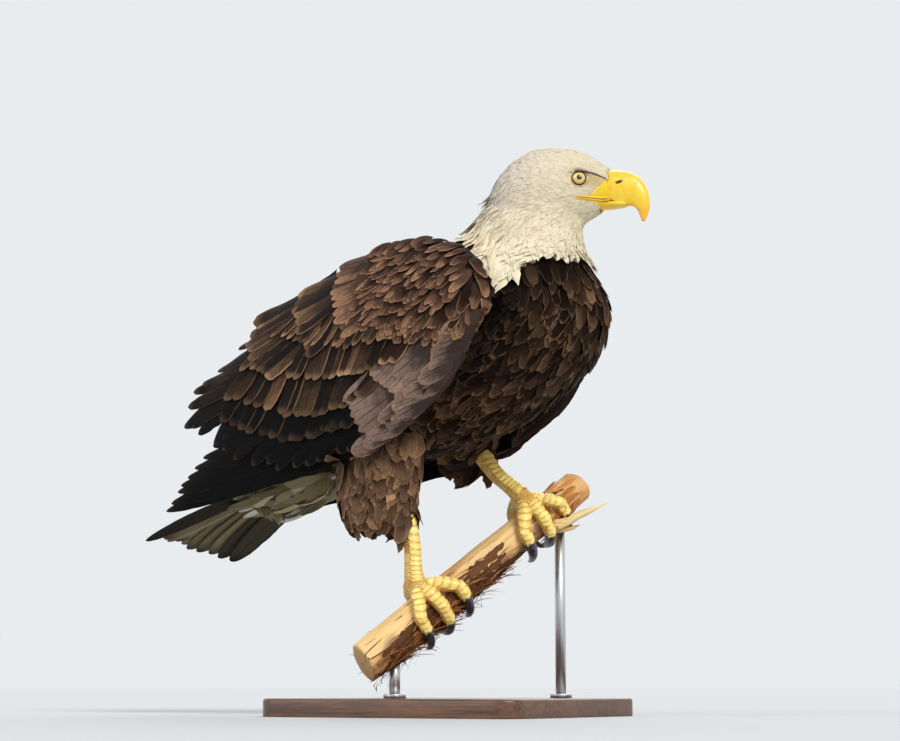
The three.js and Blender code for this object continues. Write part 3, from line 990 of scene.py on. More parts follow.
def billMaterial():
    sheet = Sheet("bill_horn", 0.34, Coat_Weight=0.25, Coat_Roughness=0.25, Subsurface_Weight=0.12,
                  Subsurface_Radius=(0.006, 0.004, 0.001), Subsurface_Scale=0.5)
    cloud = sheet.noise(sheet.here(), 90.0, 4.0, 0.6)
    fine = sheet.noise(sheet.here(), 900.0, 3.0, 0.6)
    streak = sheet.noise(sheet.here(), 260.0, 3.0, 0.6, (0.25, 0.25, 1.6))
    colour = sheet.wash(sheet.stored("horn"), cloud, 0.4, 0.7, paint(232, 160, 36), 0.35)
    colour = sheet.wash(colour, streak, 0.55, 0.8, paint(255, 226, 130), 0.3)
    colour = sheet.wash(colour, fine, 0.66, 0.8, paint(120, 84, 40), 0.25)
    height = sheet.math("MULTIPLY_ADD", streak, 0.6, sheet.times(fine, 0.4))
    # the nostril's slit slants up and forwards
    near, rise = billLook["nostril"]
    long, high = billLook["nostrilSize"]
    slant = unit(billLook["nostrilSlant"])
    centre = onHead(near, 0, rise)
    off = sheet.add("VectorMath", {0: sheet.here(), 1: tuple(centre)}, operation="SUBTRACT").outputs[0]
    runs = (headAhead * slant[0] + headUp * slant[1]) * 1000 / long
    lifts = (headUp * slant[0] - headAhead * slant[1]) * 1000 / high
    dots = [sheet.add("VectorMath", {0: off, 1: tuple(way)}, operation="DOT_PRODUCT").outputs["Value"]
            for way in (runs, lifts)]
    away = sheet.math("ADD", *(sheet.times(dot, dot) for dot in dots))
    colour = sheet.wash(colour, away, 1.5, 0.8, paint(150, 100, 40), 0.6)
    colour = sheet.wash(colour, away, 0.75, 0.45, paint(28, 20, 18))
    return sheet.done(colour, sheet.bump(height, 0.0004, 0.45))


def billColours(mesh):
    ahead, up = headPlaces(readOut(mesh.vertices, "co", 3))[::2]
    toTip = smooth(52, 70, ahead) * smooth(-18, -42, up)
    border = bell(ahead + 0.35 * up - billLook["cere"] + 2, 1.1) * (up > -20)
    spot = np.maximum(bell(ahead - 62, 2.4) * bell(up + 5, 2.0), 0.6 * smooth(-44, -49, up))
    mouth = np.abs(up - np.interp(ahead, [-4, 14, 33, 60], [-20.7, -22.0, -22.2, -24]))
    colour = np.tile(yellow["bill"], (len(up), 1))
    retint(colour, yellow["tip"], np.maximum(toTip, 0.25 * smooth(40, 20, ahead)))
    retint(colour, paint(206, 150, 48), 0.25 * border)
    retint(colour, paint(112, 76, 48), 0.7 * spot)
    retint(colour, paint(96, 70, 34), 0.75 * smooth(0.75, 0.1, mouth) * (ahead < 36))
    coloured(mesh, "horn", colour)


def nostrilDepth(ahead, up):
    near, rise = billLook["nostril"]
    long, high = billLook["nostrilSize"]
    a, b = billLook["nostrilSlant"]
    along = (ahead - near) * a + (up - rise) * b
    over = (up - rise) * a - (ahead - near) * b
    return smooth(1.5, 0.3, (along / long) ** 2 + (over / high) ** 2)


def faceSide(skin, ahead, side, up):
    # where the side of the face is, at a place ahead of and above the point between the eyes
    start = onHead(ahead, side * 60, up)
    hit = skin.ray_cast(Vector(start), Vector(headLeft * -side))
    return np.array(hit[0]) if hit[0] else onHead(ahead, side * 12, up)


def gapeFlange(skin, side, lift, wide, high):
    # the soft corner of the mouth, running back under the eye
    line = np.array([(33, -22.0), (24, -22.4), (14, -21.8), (5, -21.2), (-4, -20.6)])
    path = [faceSide(skin, ahead, side, up + lift) + headLeft * side * 0.0002 for ahead, up in line]
    path[0] = onHead(33, side * 12.6, line[0][1] + lift)
    grow = np.array([1, 1, 0.95, 0.8, 0.3])
    sizes = np.stack([grow * wide, grow * high, grow * high], 1) / 1000
    return loft(path, sizes, headUp, 14, 34)


def makeBill(skin, material):
    look = billLook
    upper = loft([onHead(*p) for p in look["path"]], np.array(look["sizes"]) / 1000,
                 unit(headAhead + headUp), 110, 160, billProfile, (0.03, 0.035), billSwell)
    for v in upper.verts:
        ahead, left, up = headPlaces(v.co)
        if abs(left) > 4:
            dent = float(nostrilDepth(ahead, up)) * 0.0013
            v.co -= Vector(headLeft) * math.copysign(dent, left)
    lower = loft([onHead(*p) for p in look["lowerPath"]], np.array(look["lowerSizes"]) / 1000,
                 headUp, 40, 50, oval, (0.10, 0.22))
    upper = gathered(upper, *(gapeFlange(skin.tree, side, 0.95, 1.6, 1.15) for side in (1, -1)))
    lower = gathered(lower, *(gapeFlange(skin.tree, side, -1.0, 1.5, 1.0) for side in (1, -1)))
    for name, bm in (("upper", upper), ("lower", lower)):
        piece = finishPiece("bill_horn_" + name, bm, material, ["bill_" + name])
        billColours(piece.data)


# ---- lids and the dark brow edges of painted shade, which join the skin

lidLook = {
    # distance from the eye's axis and height over the ball, in millimetres
    "rings": [(6.9, -0.9), (7.4, 0.05), (7.8, 0.45), (8.3, 0.60),
              (9.0, 0.60), (10.4, 1.5), (12.0, 0.8), (13.2, -1.0)],
    "droop": 0.50,  # how much the brow flattens the upper lid
    "above": 3.6,
    # the brow's dark edge, painted shade under the brow: ahead, left and up of the point between the
    # eyes, and its half widths
    "brow": [(-13, 29.4, 7.4), (0, 29.6, 7.9), (13, 25.4, 6.4), (24, 19.4, 2.8), (31, 14.8, -0.6)],
    "browSizes": [(0.5, 0.3, 0.3), (1.5, 0.7, 0.7), (1.8, 0.8, 0.8), (1.2, 0.6, 0.6), (0.4, 0.3, 0.3)],
}


def lidRing(side):
    centre = eyeLeft if side > 0 else eyeRight
    axis = gaze(side)
    level = unit(np.cross(headUp, axis))
    over = np.cross(axis, level)
    rings = np.array(lidLook["rings"])
    steps = np.linspace(0, 1, len(rings))
    ball = eyeSize * 1000

    def shape(round, along):
        turn = 2 * np.pi * round
        off, rise = (np.interp(along, steps, column) for column in rings.T)
        across, up = np.cos(turn) * off * 1.05, np.sin(turn) * off
        above = np.clip(up - lidLook["above"], 0, None) * (1 - along)
        up = up - above * lidLook["droop"]
        reach = np.minimum(np.hypot(across, up), ball - 0.4)
        out = np.sqrt(ball ** 2 - reach ** 2) + rise
        return centre + (level * across[:, None] + over * up[:, None] + axis * out[:, None]) / 1000

    return swept(shape, 56, 21)


# a thin dark ridge along each brow, painted shade where the brow overhangs the eye
def browEdge(side):
    path = [onHead(ahead, side * left, up) for ahead, left, up in lidLook["brow"]]
    return loft(path, np.array(lidLook["browSizes"]) / 1000, headUp, 12, 30)


# ---- legs and feet

wood = {
    # the branch's middle line and size, in millimetres
    "low": (-12, -50, 107), "high": (60, 74, 215), "ends": (-82, 262), "radius": 22, "taper": 0.0006,
}
branchStart = np.array(wood["low"]) / 1000
branchAxis = unit(np.subtract(wood["high"], wood["low"]))
overBranch = unit(np.cross(branchAxis, [0, 0, 1]))
outOfBranch = np.cross(overBranch, branchAxis)


def branchRadius(distance):
    return wood["radius"] * (1 - wood["taper"] * np.asarray(distance, float)) / 1000


def besideBranch(distance, degrees, height):
    # a place beside the branch: millimetres along it, degrees round from its top, millimetres off it
    turn = np.radians(np.asarray(degrees, float))[..., None]
    distance = np.asarray(distance, float)
    radius = branchRadius(distance)[..., None] + np.asarray(height, float)[..., None] / 1000
    out = overBranch * np.sin(turn) + outOfBranch * np.cos(turn)
    return branchStart + branchAxis * (distance / 1000)[..., None] + out * radius


def outOfWood(points):
    # the way from the branch's middle line out to each place
    axis = branchStart + branchAxis * ((points - branchStart) @ branchAxis)[..., None]
    return unit(points - axis)


footLook = {
    "toes": {
        "inner": {"spread": 34, "from": 14, "reach": 116, "radius": 9.2, "joints": 2},
        "middle": {"spread": 3, "from": 16, "reach": 138, "radius": 9.2, "joints": 3},
        "outer": {"spread": -27, "from": 14, "reach": 118, "radius": 8.4, "joints": 4},
        "hind": {"spread": 5, "from": -2, "reach": -104, "radius": 9.8, "joints": 1},
    },
    "places": {"right": 18, "left": 190},
    "hock": {"right": [(-24, -65, 240), (-12, -63, 197)], "left": [(4, 59, 304), (26, 57, 277)]},
    "heel": (12, 15),  # degrees forwards of the branch's top, and height off it
    # half widths of the leg from knee to heel, and of the pad under it: across, above and below
    "leg": [(11, 12, 12), (10.2, 11.6, 11.6), (8.6, 9.8, 9.8), (8.8, 10, 10), (12, 13, 12)],
    "pad": [(9.5, 9, 9), (15, 12.5, 11), (10, 9, 9)],
    "shin": ([0, 0.33, 0.7, 1], [0.0110, 0.0096, 0.0098, 0.0128]),  # its plates' half widths, by share
    "knuckle": 0.13,
    "scutes": {"inner": 9, "middle": 12, "outer": 10, "hind": 7},
}


def toeLine(name, side, share):
    # the middle line of a toe and its thickness, by share from its root to its end
    toe = footLook["toes"][name]
    reach = toe["reach"] - toe["from"]
    place = footLook["places"]["left" if side > 0 else "right"]
    along = place - side * toe["spread"] * np.minimum(1, share * 1.6)
    radius = toe["radius"] * np.interp(share, [0, 0.3, 0.65, 1], [1, 0.93, 0.84, 0.74])
    bend = np.cos(2 * np.pi * share * (toe["joints"] + 0.5) + 0.6)
    radius = radius * (1 + footLook["knuckle"] * 0.5 * bend)
    return besideBranch(along, toe["from"] + reach * share, radius * 0.98), radius / 1000


def legLine(name):
    # from above the heel down to it
    heel = besideBranch(footLook["places"][name], *footLook["heel"])
    upper, lower = np.array(footLook["hock"][name]) / 1000
    return [upper, lower, mix(lower, heel, 0.6), heel]


def makeLegShell():
    parts = []
    for name, side in sides.items():
        line = legLine(name)
        knee = line[0] + (line[0] - line[1]) * 0.45
        parts.append(loft([knee, *line], np.array(footLook["leg"]) / 1000, [1.0, 0, 0], 20, 30))
        place = np.full(3, float(footLook["places"][name]))
        pad = besideBranch(place, [-24, footLook["heel"][0], 44], [8, 9.5, 8.5])
        parts.append(loft(pad, np.array(footLook["pad"]) / 1000, branchAxis, 16, 14))
        for toe in footLook["toes"]:
            line, radius = toeLine(toe, side, np.linspace(0, 1, 13))
            parts.append(loft(line, np.stack([radius] * 3, 1), branchAxis, 16, 36, ends=(0.12, 0.14)))
    bm = remeshed(gathered(*parts), skinLook["legVoxel"])
    for i in range(3):
        softened(bm, bm.verts)
    return bm


def legMaterial():
    sheet = Sheet("leg_skin", 0.5, Coat_Weight=0.12, Coat_Roughness=0.4, Subsurface_Weight=0.06,
                  Subsurface_Radius=(0.004, 0.002, 0.001), Subsurface_Scale=0.4)
    here = sheet.here()
    cells = sheet.add("TexVoronoi", {"Vector": here, "Scale": 430.0}, feature="DISTANCE_TO_EDGE")
    cells = cells.outputs["Distance"]
    bead = sheet.range(cells, 0.02, 0.22)
    colour = sheet.wash(yellow["leg"], sheet.noise(here, 60.0, 4.0, 0.6), 0.38, 0.68, yellow["legDeep"])
    colour = sheet.wash(colour, sheet.noise(here, 500.0, 3.0, 0.6), 0.6, 0.8, paint(176, 128, 66), 0.25)
    colour = sheet.wash(colour, bead, 0.4, 0.0, paint(204, 130, 52), 0.7)
    return sheet.done(colour, sheet.bump(bead, 0.0014, 0.9))


def scuteMaterial():
    sheet = Sheet("leg_scutes", 0.42, Coat_Weight=0.2, Coat_Roughness=0.3)
    along = sheet.add("SeparateXYZ", {0: sheet.lay("vane")}).outputs[1]
    cloud = sheet.noise(sheet.here(), 220.0, 4.0, 0.6)
    colour = sheet.wash(sheet.stored("tint"), cloud, 0.4, 0.7, yellow["legDeep"], 0.6)
    # painted shade at each plate's root, where it tucks under the plate before it
    colour = sheet.wash(colour, along, 0.60, 0.42, paint(206, 136, 54), 0.6)
    colour = sheet.wash(colour, along, 0.85, 1.0, paint(255, 240, 190), 0.3)
    fine = sheet.noise(sheet.here(), 900.0, 3.0, 0.6)
    return sheet.done(colour, sheet.bump(fine, 0.0003, 0.5))


def makeFootPlates(skin, material):
    # overlapping plates down the front of each toe and leg
    rows = templates["plate"]["rows"]
    rise = np.linspace(-0.0004, 0.0016, rows + 1)
    batches = []

    def add(line, out, widths, count, length, reach, wrap):
        # the line, its outward way and its half widths are given by share along it
        shares = [np.linspace(k / count, min((k + length) / count, 1.0), rows + 1) for k in range(count)]
        shares = [share * reach for share in shares]
        ways = [out(share) for share in shares]
        spines = np.array([
            line(share) + way * (widths(share) + rise)[:, None] for share, way in zip(shares, ways)
        ])
        root = skin.mapUnder(spines[:, 0])
        tint = tinted(yellow["leg"], count, 0.08, 0.8)
        width = np.array([widths(share)[0] for share in shares]) * wrap
        width = width * chance.uniform(0.96, 1.04, count)
        ways = np.array(ways)
        batch = vanes("plate", "plate", spines, ways, width, 0.0009, 0.5, tint, root, ragged=0.02)
        batches.append(batch)

    for name, side in sides.items():
        for toe, count in footLook["scutes"].items():
            def offWood(share):
                return outOfWood(toeLine(toe, side, share)[0])

            add(lambda share: toeLine(toe, side, share)[0], offWood,
                lambda share: toeLine(toe, side, share)[1], count, 1.5, 0.97, 0.86)
        leg = legLine(name)
        ahead = unit(overBranch * 0.8 + [0.3, 0, 0])

        def forwards(share):
            steps = np.linspace(0, 1, 50)
            run = unit(np.gradient(curveAt(leg, steps), axis=0))
            run = np.stack([np.interp(share, steps, run[:, k]) for k in range(3)], 1)
            return unit(ahead - (run @ ahead)[:, None] * run)

        add(lambda share: curveAt(leg, share), forwards,
            lambda share: np.interp(share, *footLook["shin"]), 13, 1.4, 0.96, 0.8)
    featherPiece("foot_plates", batches, material)


def makeSkinMesh():
    # the feathered body, the legs, the lids and the brows' dark edges of painted shade, as one skin
    body = fleshShell()
    insetShell(body)
    lids = [lidRing(side) for side in (1, -1)]
    brows = [browEdge(side) for side in (1, -1)]
    parts = [body, makeLegShell(), *lids, *brows]
    kinds = np.repeat([0, 1, 2, 2, 3, 3], [len(bm.verts) for bm in parts])
    mesh = meshOf(gathered(*parts), "skin")
    mesh.shade_smooth()
    unwrapped(mesh)
    return mesh, kinds


# ---- head and neck feathers

hackleLook = {
    "face": 0.00145, "crown": 0.0021, "neck": 0.0040,  # how far apart
    "ruff": (0.0045, 0.024),  # at the nape, how high they stand and over what reach
    "tuft": (0.007, 0.0042),
}


def headSpacing(places):
    distance = np.linalg.norm(places - billRoot, axis=1)
    size = mix(hackleLook["face"], hackleLook["crown"], smooth(0.02, 0.07, distance))
    return mix(size, hackleLook["neck"], smooth(0.08, 0.15, distance))


def clearOfEyes(places):
    clear = np.ones(len(places), bool)
    for eye in (eyeRight, eyeLeft):
        clear &= np.linalg.norm(places - eye, axis=1) > eyeSize * 1.03
    return clear & (bareFace(places) < 0.4)


def makeHeadFeathers(skin, material):
    def onWhite(places, normals):
        return (aboveWhite(places) > 0) & clearOfEyes(places)

    places = scatter(skin, ["head", "neck", "trunk"], headSpacing, onWhite, seed=3)
    high = places[:, 2] > mix(eyesMiddle[2], neckLow[2], 0.55)
    makeHackles(skin, "head_feathers", places[high], material)
    makeHackles(skin, "neck_hackles", places[~high], material)


def makeHackles(skin, name, places, material):
    count = len(places)
    size = headSpacing(places)
    grown = smooth(0.0015, 0.0040, size)
    edge = whiteEdge(places)
    length = size * mix(4.6, 8.0, grown) * chance.uniform(0.85, 1.2, count) * (1 + 0.35 * edge)
    length = length + 0.011 * edge
    high = mix(0.0007, 0.0032, grown) * chance.uniform(0.8, 1.2, count) + 0.0075 * edge
    away = np.linalg.norm(places - whiteLook["tuft"], axis=1)
    for rise, reach in (hackleLook["ruff"], hackleLook["tuft"]):
        high = high + rise * bell(away, reach)
    spine, normals, root = layOnSkin(skin, "tuft", places, headFlow, length, 0.0002, high, 0.7, 0.10)
    back, rise = (places - eyesMiddle) @ headAhead, places[:, 2] - eyesMiddle[2]
    # painted shade: the back of the head is mixed towards a lilac grey
    behind = smooth(0.0, -0.09, back) * smooth(-0.05, 0.03, rise)
    cheek = bell(rise + 0.04, 0.025) * (chance.random(count) < 0.3)
    tint = tinted(white["neck"], count, 0.04, 0.6, white["napeShade"], behind * 0.8)
    retint(tint, white["streak"], cheek * chance.uniform(0.2, 0.6, count))
    retint(tint, yellow["lore"], 0.8 * loreMark(places))
    width = size * mix(0.82, 1.0, grown) * chance.uniform(0.8, 1.2, count) * (1 + 0.75 * edge)
    roll = chance.normal(0, 0.05, count) + 0.5 * bell(away, hackleLook["tuft"][1])
    batch = vanes("tuft", "hackle", spine, normals, width, 0.0003, 0.15, tint, root, roll)
    featherPiece(name, [batch], material)


# ---- body feathers

bodyLook = {
    "breast": {
        "parts": ["trunk", "neck"], "gap": 0.0071, "length": (0.030, 0.046), "half": 0.0069,
        "high": (0.0045, 0.0085), "cling": (0.85, 0.85), "vary": 0.3, "fringe": 0.35, "faded": 0.3,
        "hidden": 0.02, "steep": -1.1, "slot": "dark_plumage",
        "colours": (brown["body"], brown["faded"]),
        "paintedWingShade": (0.016, 0.055),  # painted shade: how near a wing the breast is painted darkest, and where that ends
    },
    "thigh": {
        "parts": ["thigh_right", "thigh_left"], "gap": 0.0064, "length": (0.030, 0.046), "half": 0.0084,
        "high": (0.004, 0.008), "cling": (0.5, 0.05), "vary": 0.28, "fringe": 0.6, "faded": 0.6,
        "hidden": 0.012, "steep": -0.45, "slot": "dark_plumage",
        "colours": (brown["thigh"], brown["faded"]),
    },
    "vent": {
        "parts": ["trunk", "tail"], "gap": 0.0090, "length": (0.045, 0.08), "half": 0.0092,
        "high": (0.002, 0.007), "cling": (0.7, 0.7), "vary": 0.1, "fringe": 0.4, "faded": 0.8,
        "hidden": 0.005, "steep": -1.1, "slot": "white_plumage",
        "colours": (white["tail"], white["tailShade"]),
    },
}


def besideWings(places):
    # each place with the search tree of the wing on its side
    left, right = (surfaceOf(["wing_" + side])[0] for side in ("left", "right"))
    return [(left if place[1] > 0 else right, place) for place in places.tolist()]


def wingGap(places):
    # how far each place is from the wing on its side
    return np.array([tree.find_nearest(place)[3] for tree, place in besideWings(places)])


def underWing(places, normals, reach):
    # places on the body that a wing covers closely
    hits = [tree.ray_cast(place, normal, reach)
            for (tree, place), normal in zip(besideWings(places), normals.tolist())]
    return np.array([hit[0] is not None for hit in hits])


thighFoot = {side: boxOf("thigh_" + side)[0][2] for side in ("left", "right")}


def rumpFlow(places):
    # above the tail's root, towards the middle of its fan
    aim = np.array([mix(tailHigh[0], tailLow[0], 0.5), 0.0, mix(tailLow[2], tailHigh[2], 0.55)])
    above = smooth(mix(tailLow[2], tailHigh[2], 0.45), mix(tailLow[2], tailHigh[2], 0.70), places[:, 2])
    return mix(bodyFlow(places), unit(aim - places), above[:, None])


def darkBody(places, normals):
    # the first dark ones are rooted below the white ones, so that none shows between them
    return (aboveWhite(places) < -0.009) & ~whiteTail(places)


def makeSkin(skin, legs):
    # the skin carries the coat's colours, so that none of another shows between the feathers
    points = skin.points
    part = skin.part(points)
    limbs = [flesh.index(name) for name in flesh if name[:4] in ("wing", "thig")]
    high = points[:, 2] > mix(trunkLow[2], trunkHigh[2], 0.6)
    pale = (aboveWhite(points) > -0.012) & high & ~np.isin(part, limbs)
    pale |= whiteTail(points) & np.isin(part, [flesh.index("trunk"), flesh.index("tail")])
    colour = np.where(pale[:, None], white["neck"] * 0.92, brown["body"] * 0.8)
    colour = mix(colour, yellow["lore"], loreMark(points)[:, None])
    colour = mix(colour, yellow["bill"], bareFace(points)[:, None])
    onLid = np.isin(skin.kinds, (2, 3))
    rim = np.minimum(*(np.linalg.norm(np.cross(points - eye, gaze(side)), axis=1)
                       for eye, side in ((eyeLeft, 1), (eyeRight, -1)))) * 1000
    lid = mix(yellow["lid"], mix(yellow["lore"], white["neck"], 0.55), smooth(8.2, 9.0, rim)[:, None])
    # the brow edges take the painted brow shade, the lids their own colours
    colour = np.where(onLid[:, None], np.where(skin.kinds[:, None] == 3, yellow["brow"], lid), colour)
    coloured(skin.mesh, "coat", colour)
    sheet = Sheet("skin", 0.8, Specular_IOR_Level=0.2)
    coat = sheet.stored("coat")
    fluff = sheet.noise(sheet.here(), 700.0, 4.0)
    dark = sheet.blend(0.6, coat, (0.5, 0.44, 0.38), "MULTIPLY")
    material = sheet.done(sheet.wash(coat, fluff, 0.35, 0.7, dark, 0.5), sheet.bump(fluff, 0.0006, 0.7))
    piece = link("skin", skin.mesh)
    skin.mesh.materials.append(material)
    skin.mesh.materials.append(legs)
    first = readOut(skin.mesh.polygons, "loop_start", kind=int).ravel()
    corners = readOut(skin.mesh.loops, "vertex_index", kind=int)[first, 0]
    skin.mesh.polygons.foreach_set("material_index", (skin.kinds[corners] == 1).astype(int))
    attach(piece, "root")
    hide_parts(*flesh, *legNodes)


def makeBodyFeathers(skin, key, flow, keep, material):
    look = bodyLook[key]
    places = scatter(skin, look["parts"], evenly(look["gap"]), keep, seed=5)
    normals = skin.nearest(places)[1]
    # none is rooted where the skin faces the floor or straight back, as it would stick out sideways
    clear = ~underWing(places, normals, look["hidden"]) & (normals[:, 2] > look["steep"])
    if key == "vent":
        onTop = normals[:, 2] > -0.1
        clear &= (normals @ tailward < 0.4) | onTop
        clear &= places[:, 0] > mix(tailHigh[0], tailLow[0], np.where(onTop, 0.44, 0.16))
    places, facing = places[clear], normals[clear]
    count = len(places)
    length = chance.uniform(*look["length"], count)
    high = chance.uniform(*look["high"], count)
    # feathers near the foot of the part hang free of the skin
    aboveFoot = places[:, 2] - np.where(places[:, 1] > 0, thighFoot["left"], thighFoot["right"])
    cling = mix(look["cling"][1], look["cling"][0], smooth(0.015, 0.06, aboveFoot))
    if key == "thigh":
        # the lowest ones are short behind, and longer in front, over the leg
        low, top = boxOf("thigh_right")
        ahead = smooth(mix(low[0], top[0], 0.45), mix(low[0], top[0], 0.8), places[:, 0])
        length = length * (1 + (0.45 * ahead - 0.38) * smooth(0.06, 0.02, aboveFoot))
    if key == "vent":
        # the last ones run out straight over the tail's own feathers, and the rump's lie close
        cling = mix(0.3, 0.7, smooth(tailHigh[0] - 0.03, tailHigh[0] + 0.05, places[:, 0]))
        rump = smooth(0.1, 0.5, facing @ tailward)
        cling = mix(cling, 0.9, rump)
        length = length * (1 - 0.4 * rump)
        high = high * (1 - 0.3 * rump)
    spine, normals, root = layOnSkin(skin, "body", places, flow, length, 0.0006, high, cling, 0.16)
    width = look["half"] * chance.uniform(0.8, 1.15, count)
    share = look["faded"] * chance.random(count) ** 2
    if key == "vent":
        # painted shade: vent feathers that face the floor are mixed towards olive
        below = smooth(0.1, -0.4, facing[:, 2])
        share = mix(0.1 * share, 0.35 + 0.65 * chance.random(count) ** 0.5, below)
    colour, other = look["colours"]
    tint = tinted(colour, count, look["vary"], chance.random(count) * look["fringe"], other, share)
    if key == "breast":
        # painted shade: nearly black beside the wings' front edges, where the wing shades the breast
        shade = 0.9 * smooth(look["paintedWingShade"][1], look["paintedWingShade"][0], wingGap(spine[:, spine.shape[1] // 2]))
        retint(tint, brown["flight"], shade)
        tint[:, 3] *= 1 - 0.8 * shade
    roll = chance.normal(0, 0.13, count)
    batch = vanes("body", "body", spine, normals, width, 0.0005, 0.16, tint, root, roll, 0.14, split=0.3)
    featherPiece(key + "_feathers", [batch], material)


# ---- tail

tailLook = {
    "count": 12,
    "root": (0.17, 0.80),  # shares of the tail's box, back from its front and up from its foot
    "tip": (1.02, 0.11),
    "tilt": 0.13,
    "gaps": (0.0034, 0.0138),  # between neighbours at root and tip
    "half": 0.0175,
    "layer": 0.0011,
    "round": 0.0007,
    "arch": 0.00034,
    "crown": 0.004,
    "bow": 0.006,
    "dark": (3.2, 4.8, 4.6),  # how far out the feathers turn dark, and are dark on either side
    # coverts: above or below, where they start, their length, how many, half width, height off the fan
    "coverts": [
        (1, -0.004, 0.098, 11, 0.0125, 0.0050), (1, -0.026, 0.088, 10, 0.0120, 0.0080),
        (1, -0.05, 0.080, 9, 0.0115, 0.0110), (-1, 0.004, 0.100, 11, 0.0125, 0.0055),
        (-1, -0.018, 0.086, 10, 0.0120, 0.0100), (-1, -0.04, 0.078, 9, 0.0115, 0.0150),
    ],
    "fan": (0.030, 0.046),  # how far to the side the coverts reach, at root and tip
    "fall": (0.009, 0.010),  # and how far the outer ones drop
    "coverBow": 0.004,
    "whiteShare": 0.22,  # of the coverts below
}


def makeTail(skin, material):
    look = tailLook
    middle = (tailLow[1] + tailHigh[1]) / 2
    ends = [np.array([mix(tailHigh[0], tailLow[0], back), middle, mix(tailLow[2], tailHigh[2], rise)])
            for back, rise in (look["root"], look["tip"])]
    run = unit(ends[1] - ends[0])
    across = unit(np.cross([0, look["tilt"], 1], run))
    over = np.cross(run, across)
    count = look["count"]
    number = np.arange(count) - (count - 1) / 2
    off = np.abs(number)
    drop = (off * look["layer"])[:, None] * over
    arch = (off ** 2 * look["arch"] - look["crown"])[:, None] * over
    rootGap, tipGap = look["gaps"]
    root = ends[0] + number[:, None] * across * rootGap - drop
    back = (off ** 2 * look["round"])[:, None] * run + chance.normal(0, 0.005, count)[:, None] * run
    tip = ends[1] + number[:, None] * across * tipGap - drop * 1.4 - back - arch
    along = spacing(templates["flight"], usualCrowd)
    spine = between(root, tip, along) + over * (look["bow"] * np.sin(np.pi * along))[:, None]
    normals = np.tile(over, (count, len(along), 1))
    roll = -np.sign(number) * math.radians(4)
    bake = skin.mapUnder(spine[:, 0]) + number[:, None] * [0.004, 0.0]
    # painted shade: each feather is mixed towards olive, the far ones more
    shade = np.clip(chance.uniform(0.2, 0.75, count) + 0.3 * (number > 3), 0, 1)
    tint = tinted(white["tail"], count, 0.06, 1.0, white["tailShade"], shade)
    start, left, right = look["dark"]
    retint(tint, brown["flight"], 0.85 * smooth(start, left, number))
    retint(tint, brown["flight"], 0.85 * smooth(-start, -right, number))
    width = look["half"] * chance.uniform(0.95, 1.05, count)
    batches = [vanes("flight", "tail", spine, normals, width, 0.001, 0.08, tint, bake, roll, 0.02)]
    along = spacing(templates["covert"], usualCrowd)
    for above, start, length, count, half, lift in look["coverts"]:
        number = np.linspace(-1, 1, count) + chance.normal(0, 0.04, count)
        spread = number[:, None] * across
        fall = (number ** 2)[:, None] * over
        begin = ends[0] + run * start + spread * look["fan"][0] + over * above * lift
        begin = begin - fall * look["fall"][0]
        long = length * chance.uniform(0.92, 1.08, count) * (1 - 0.16 * number ** 2)
        reach = ends[0] + run * (start + long)[:, None] + spread * look["fan"][1]
        reach = reach - fall * look["fall"][1] + over * (above * (0.0022 + 0.25 * lift))
        bow = look["coverBow"] * np.sin(np.pi * along)
        spine = between(begin, reach, along) + over * above * bow[:, None]
        normals = np.tile(over * above, (count, len(along), 1))
        bake = skin.mapUnder(spine[:, 0]) + number[:, None] * [0.003, 0.0]
        shade = np.full(count, 0.04)
        if above < 0:
            # painted shade: the coverts below are mixed towards olive, and one here and there stays
            # white
            pale = chance.random(count) < look["whiteShare"]
            shade = np.where(pale, 0.0, chance.uniform(0.35, 1.0, count))
        # painted shade: the coverts below start from the underside's duller tone
        colour = white["tailTop"] if above > 0 else white["tail"]
        tint = tinted(colour, count, 0.05, 0.3, white["tailShade"], shade)
        tint[shade == 0, :3] = white["tailTop"]
        width = half * chance.uniform(0.93, 1.07, count)
        roll = chance.normal(0, 0.06, count)
        batch = vanes("covert", "round", spine, normals, width, 0.0009, 0.10, tint, bake, roll, 0.03)
        batches.append(batch)
    featherPiece("tail_feathers", batches, material)


# ---- wings: rows of coverts over the flight feathers

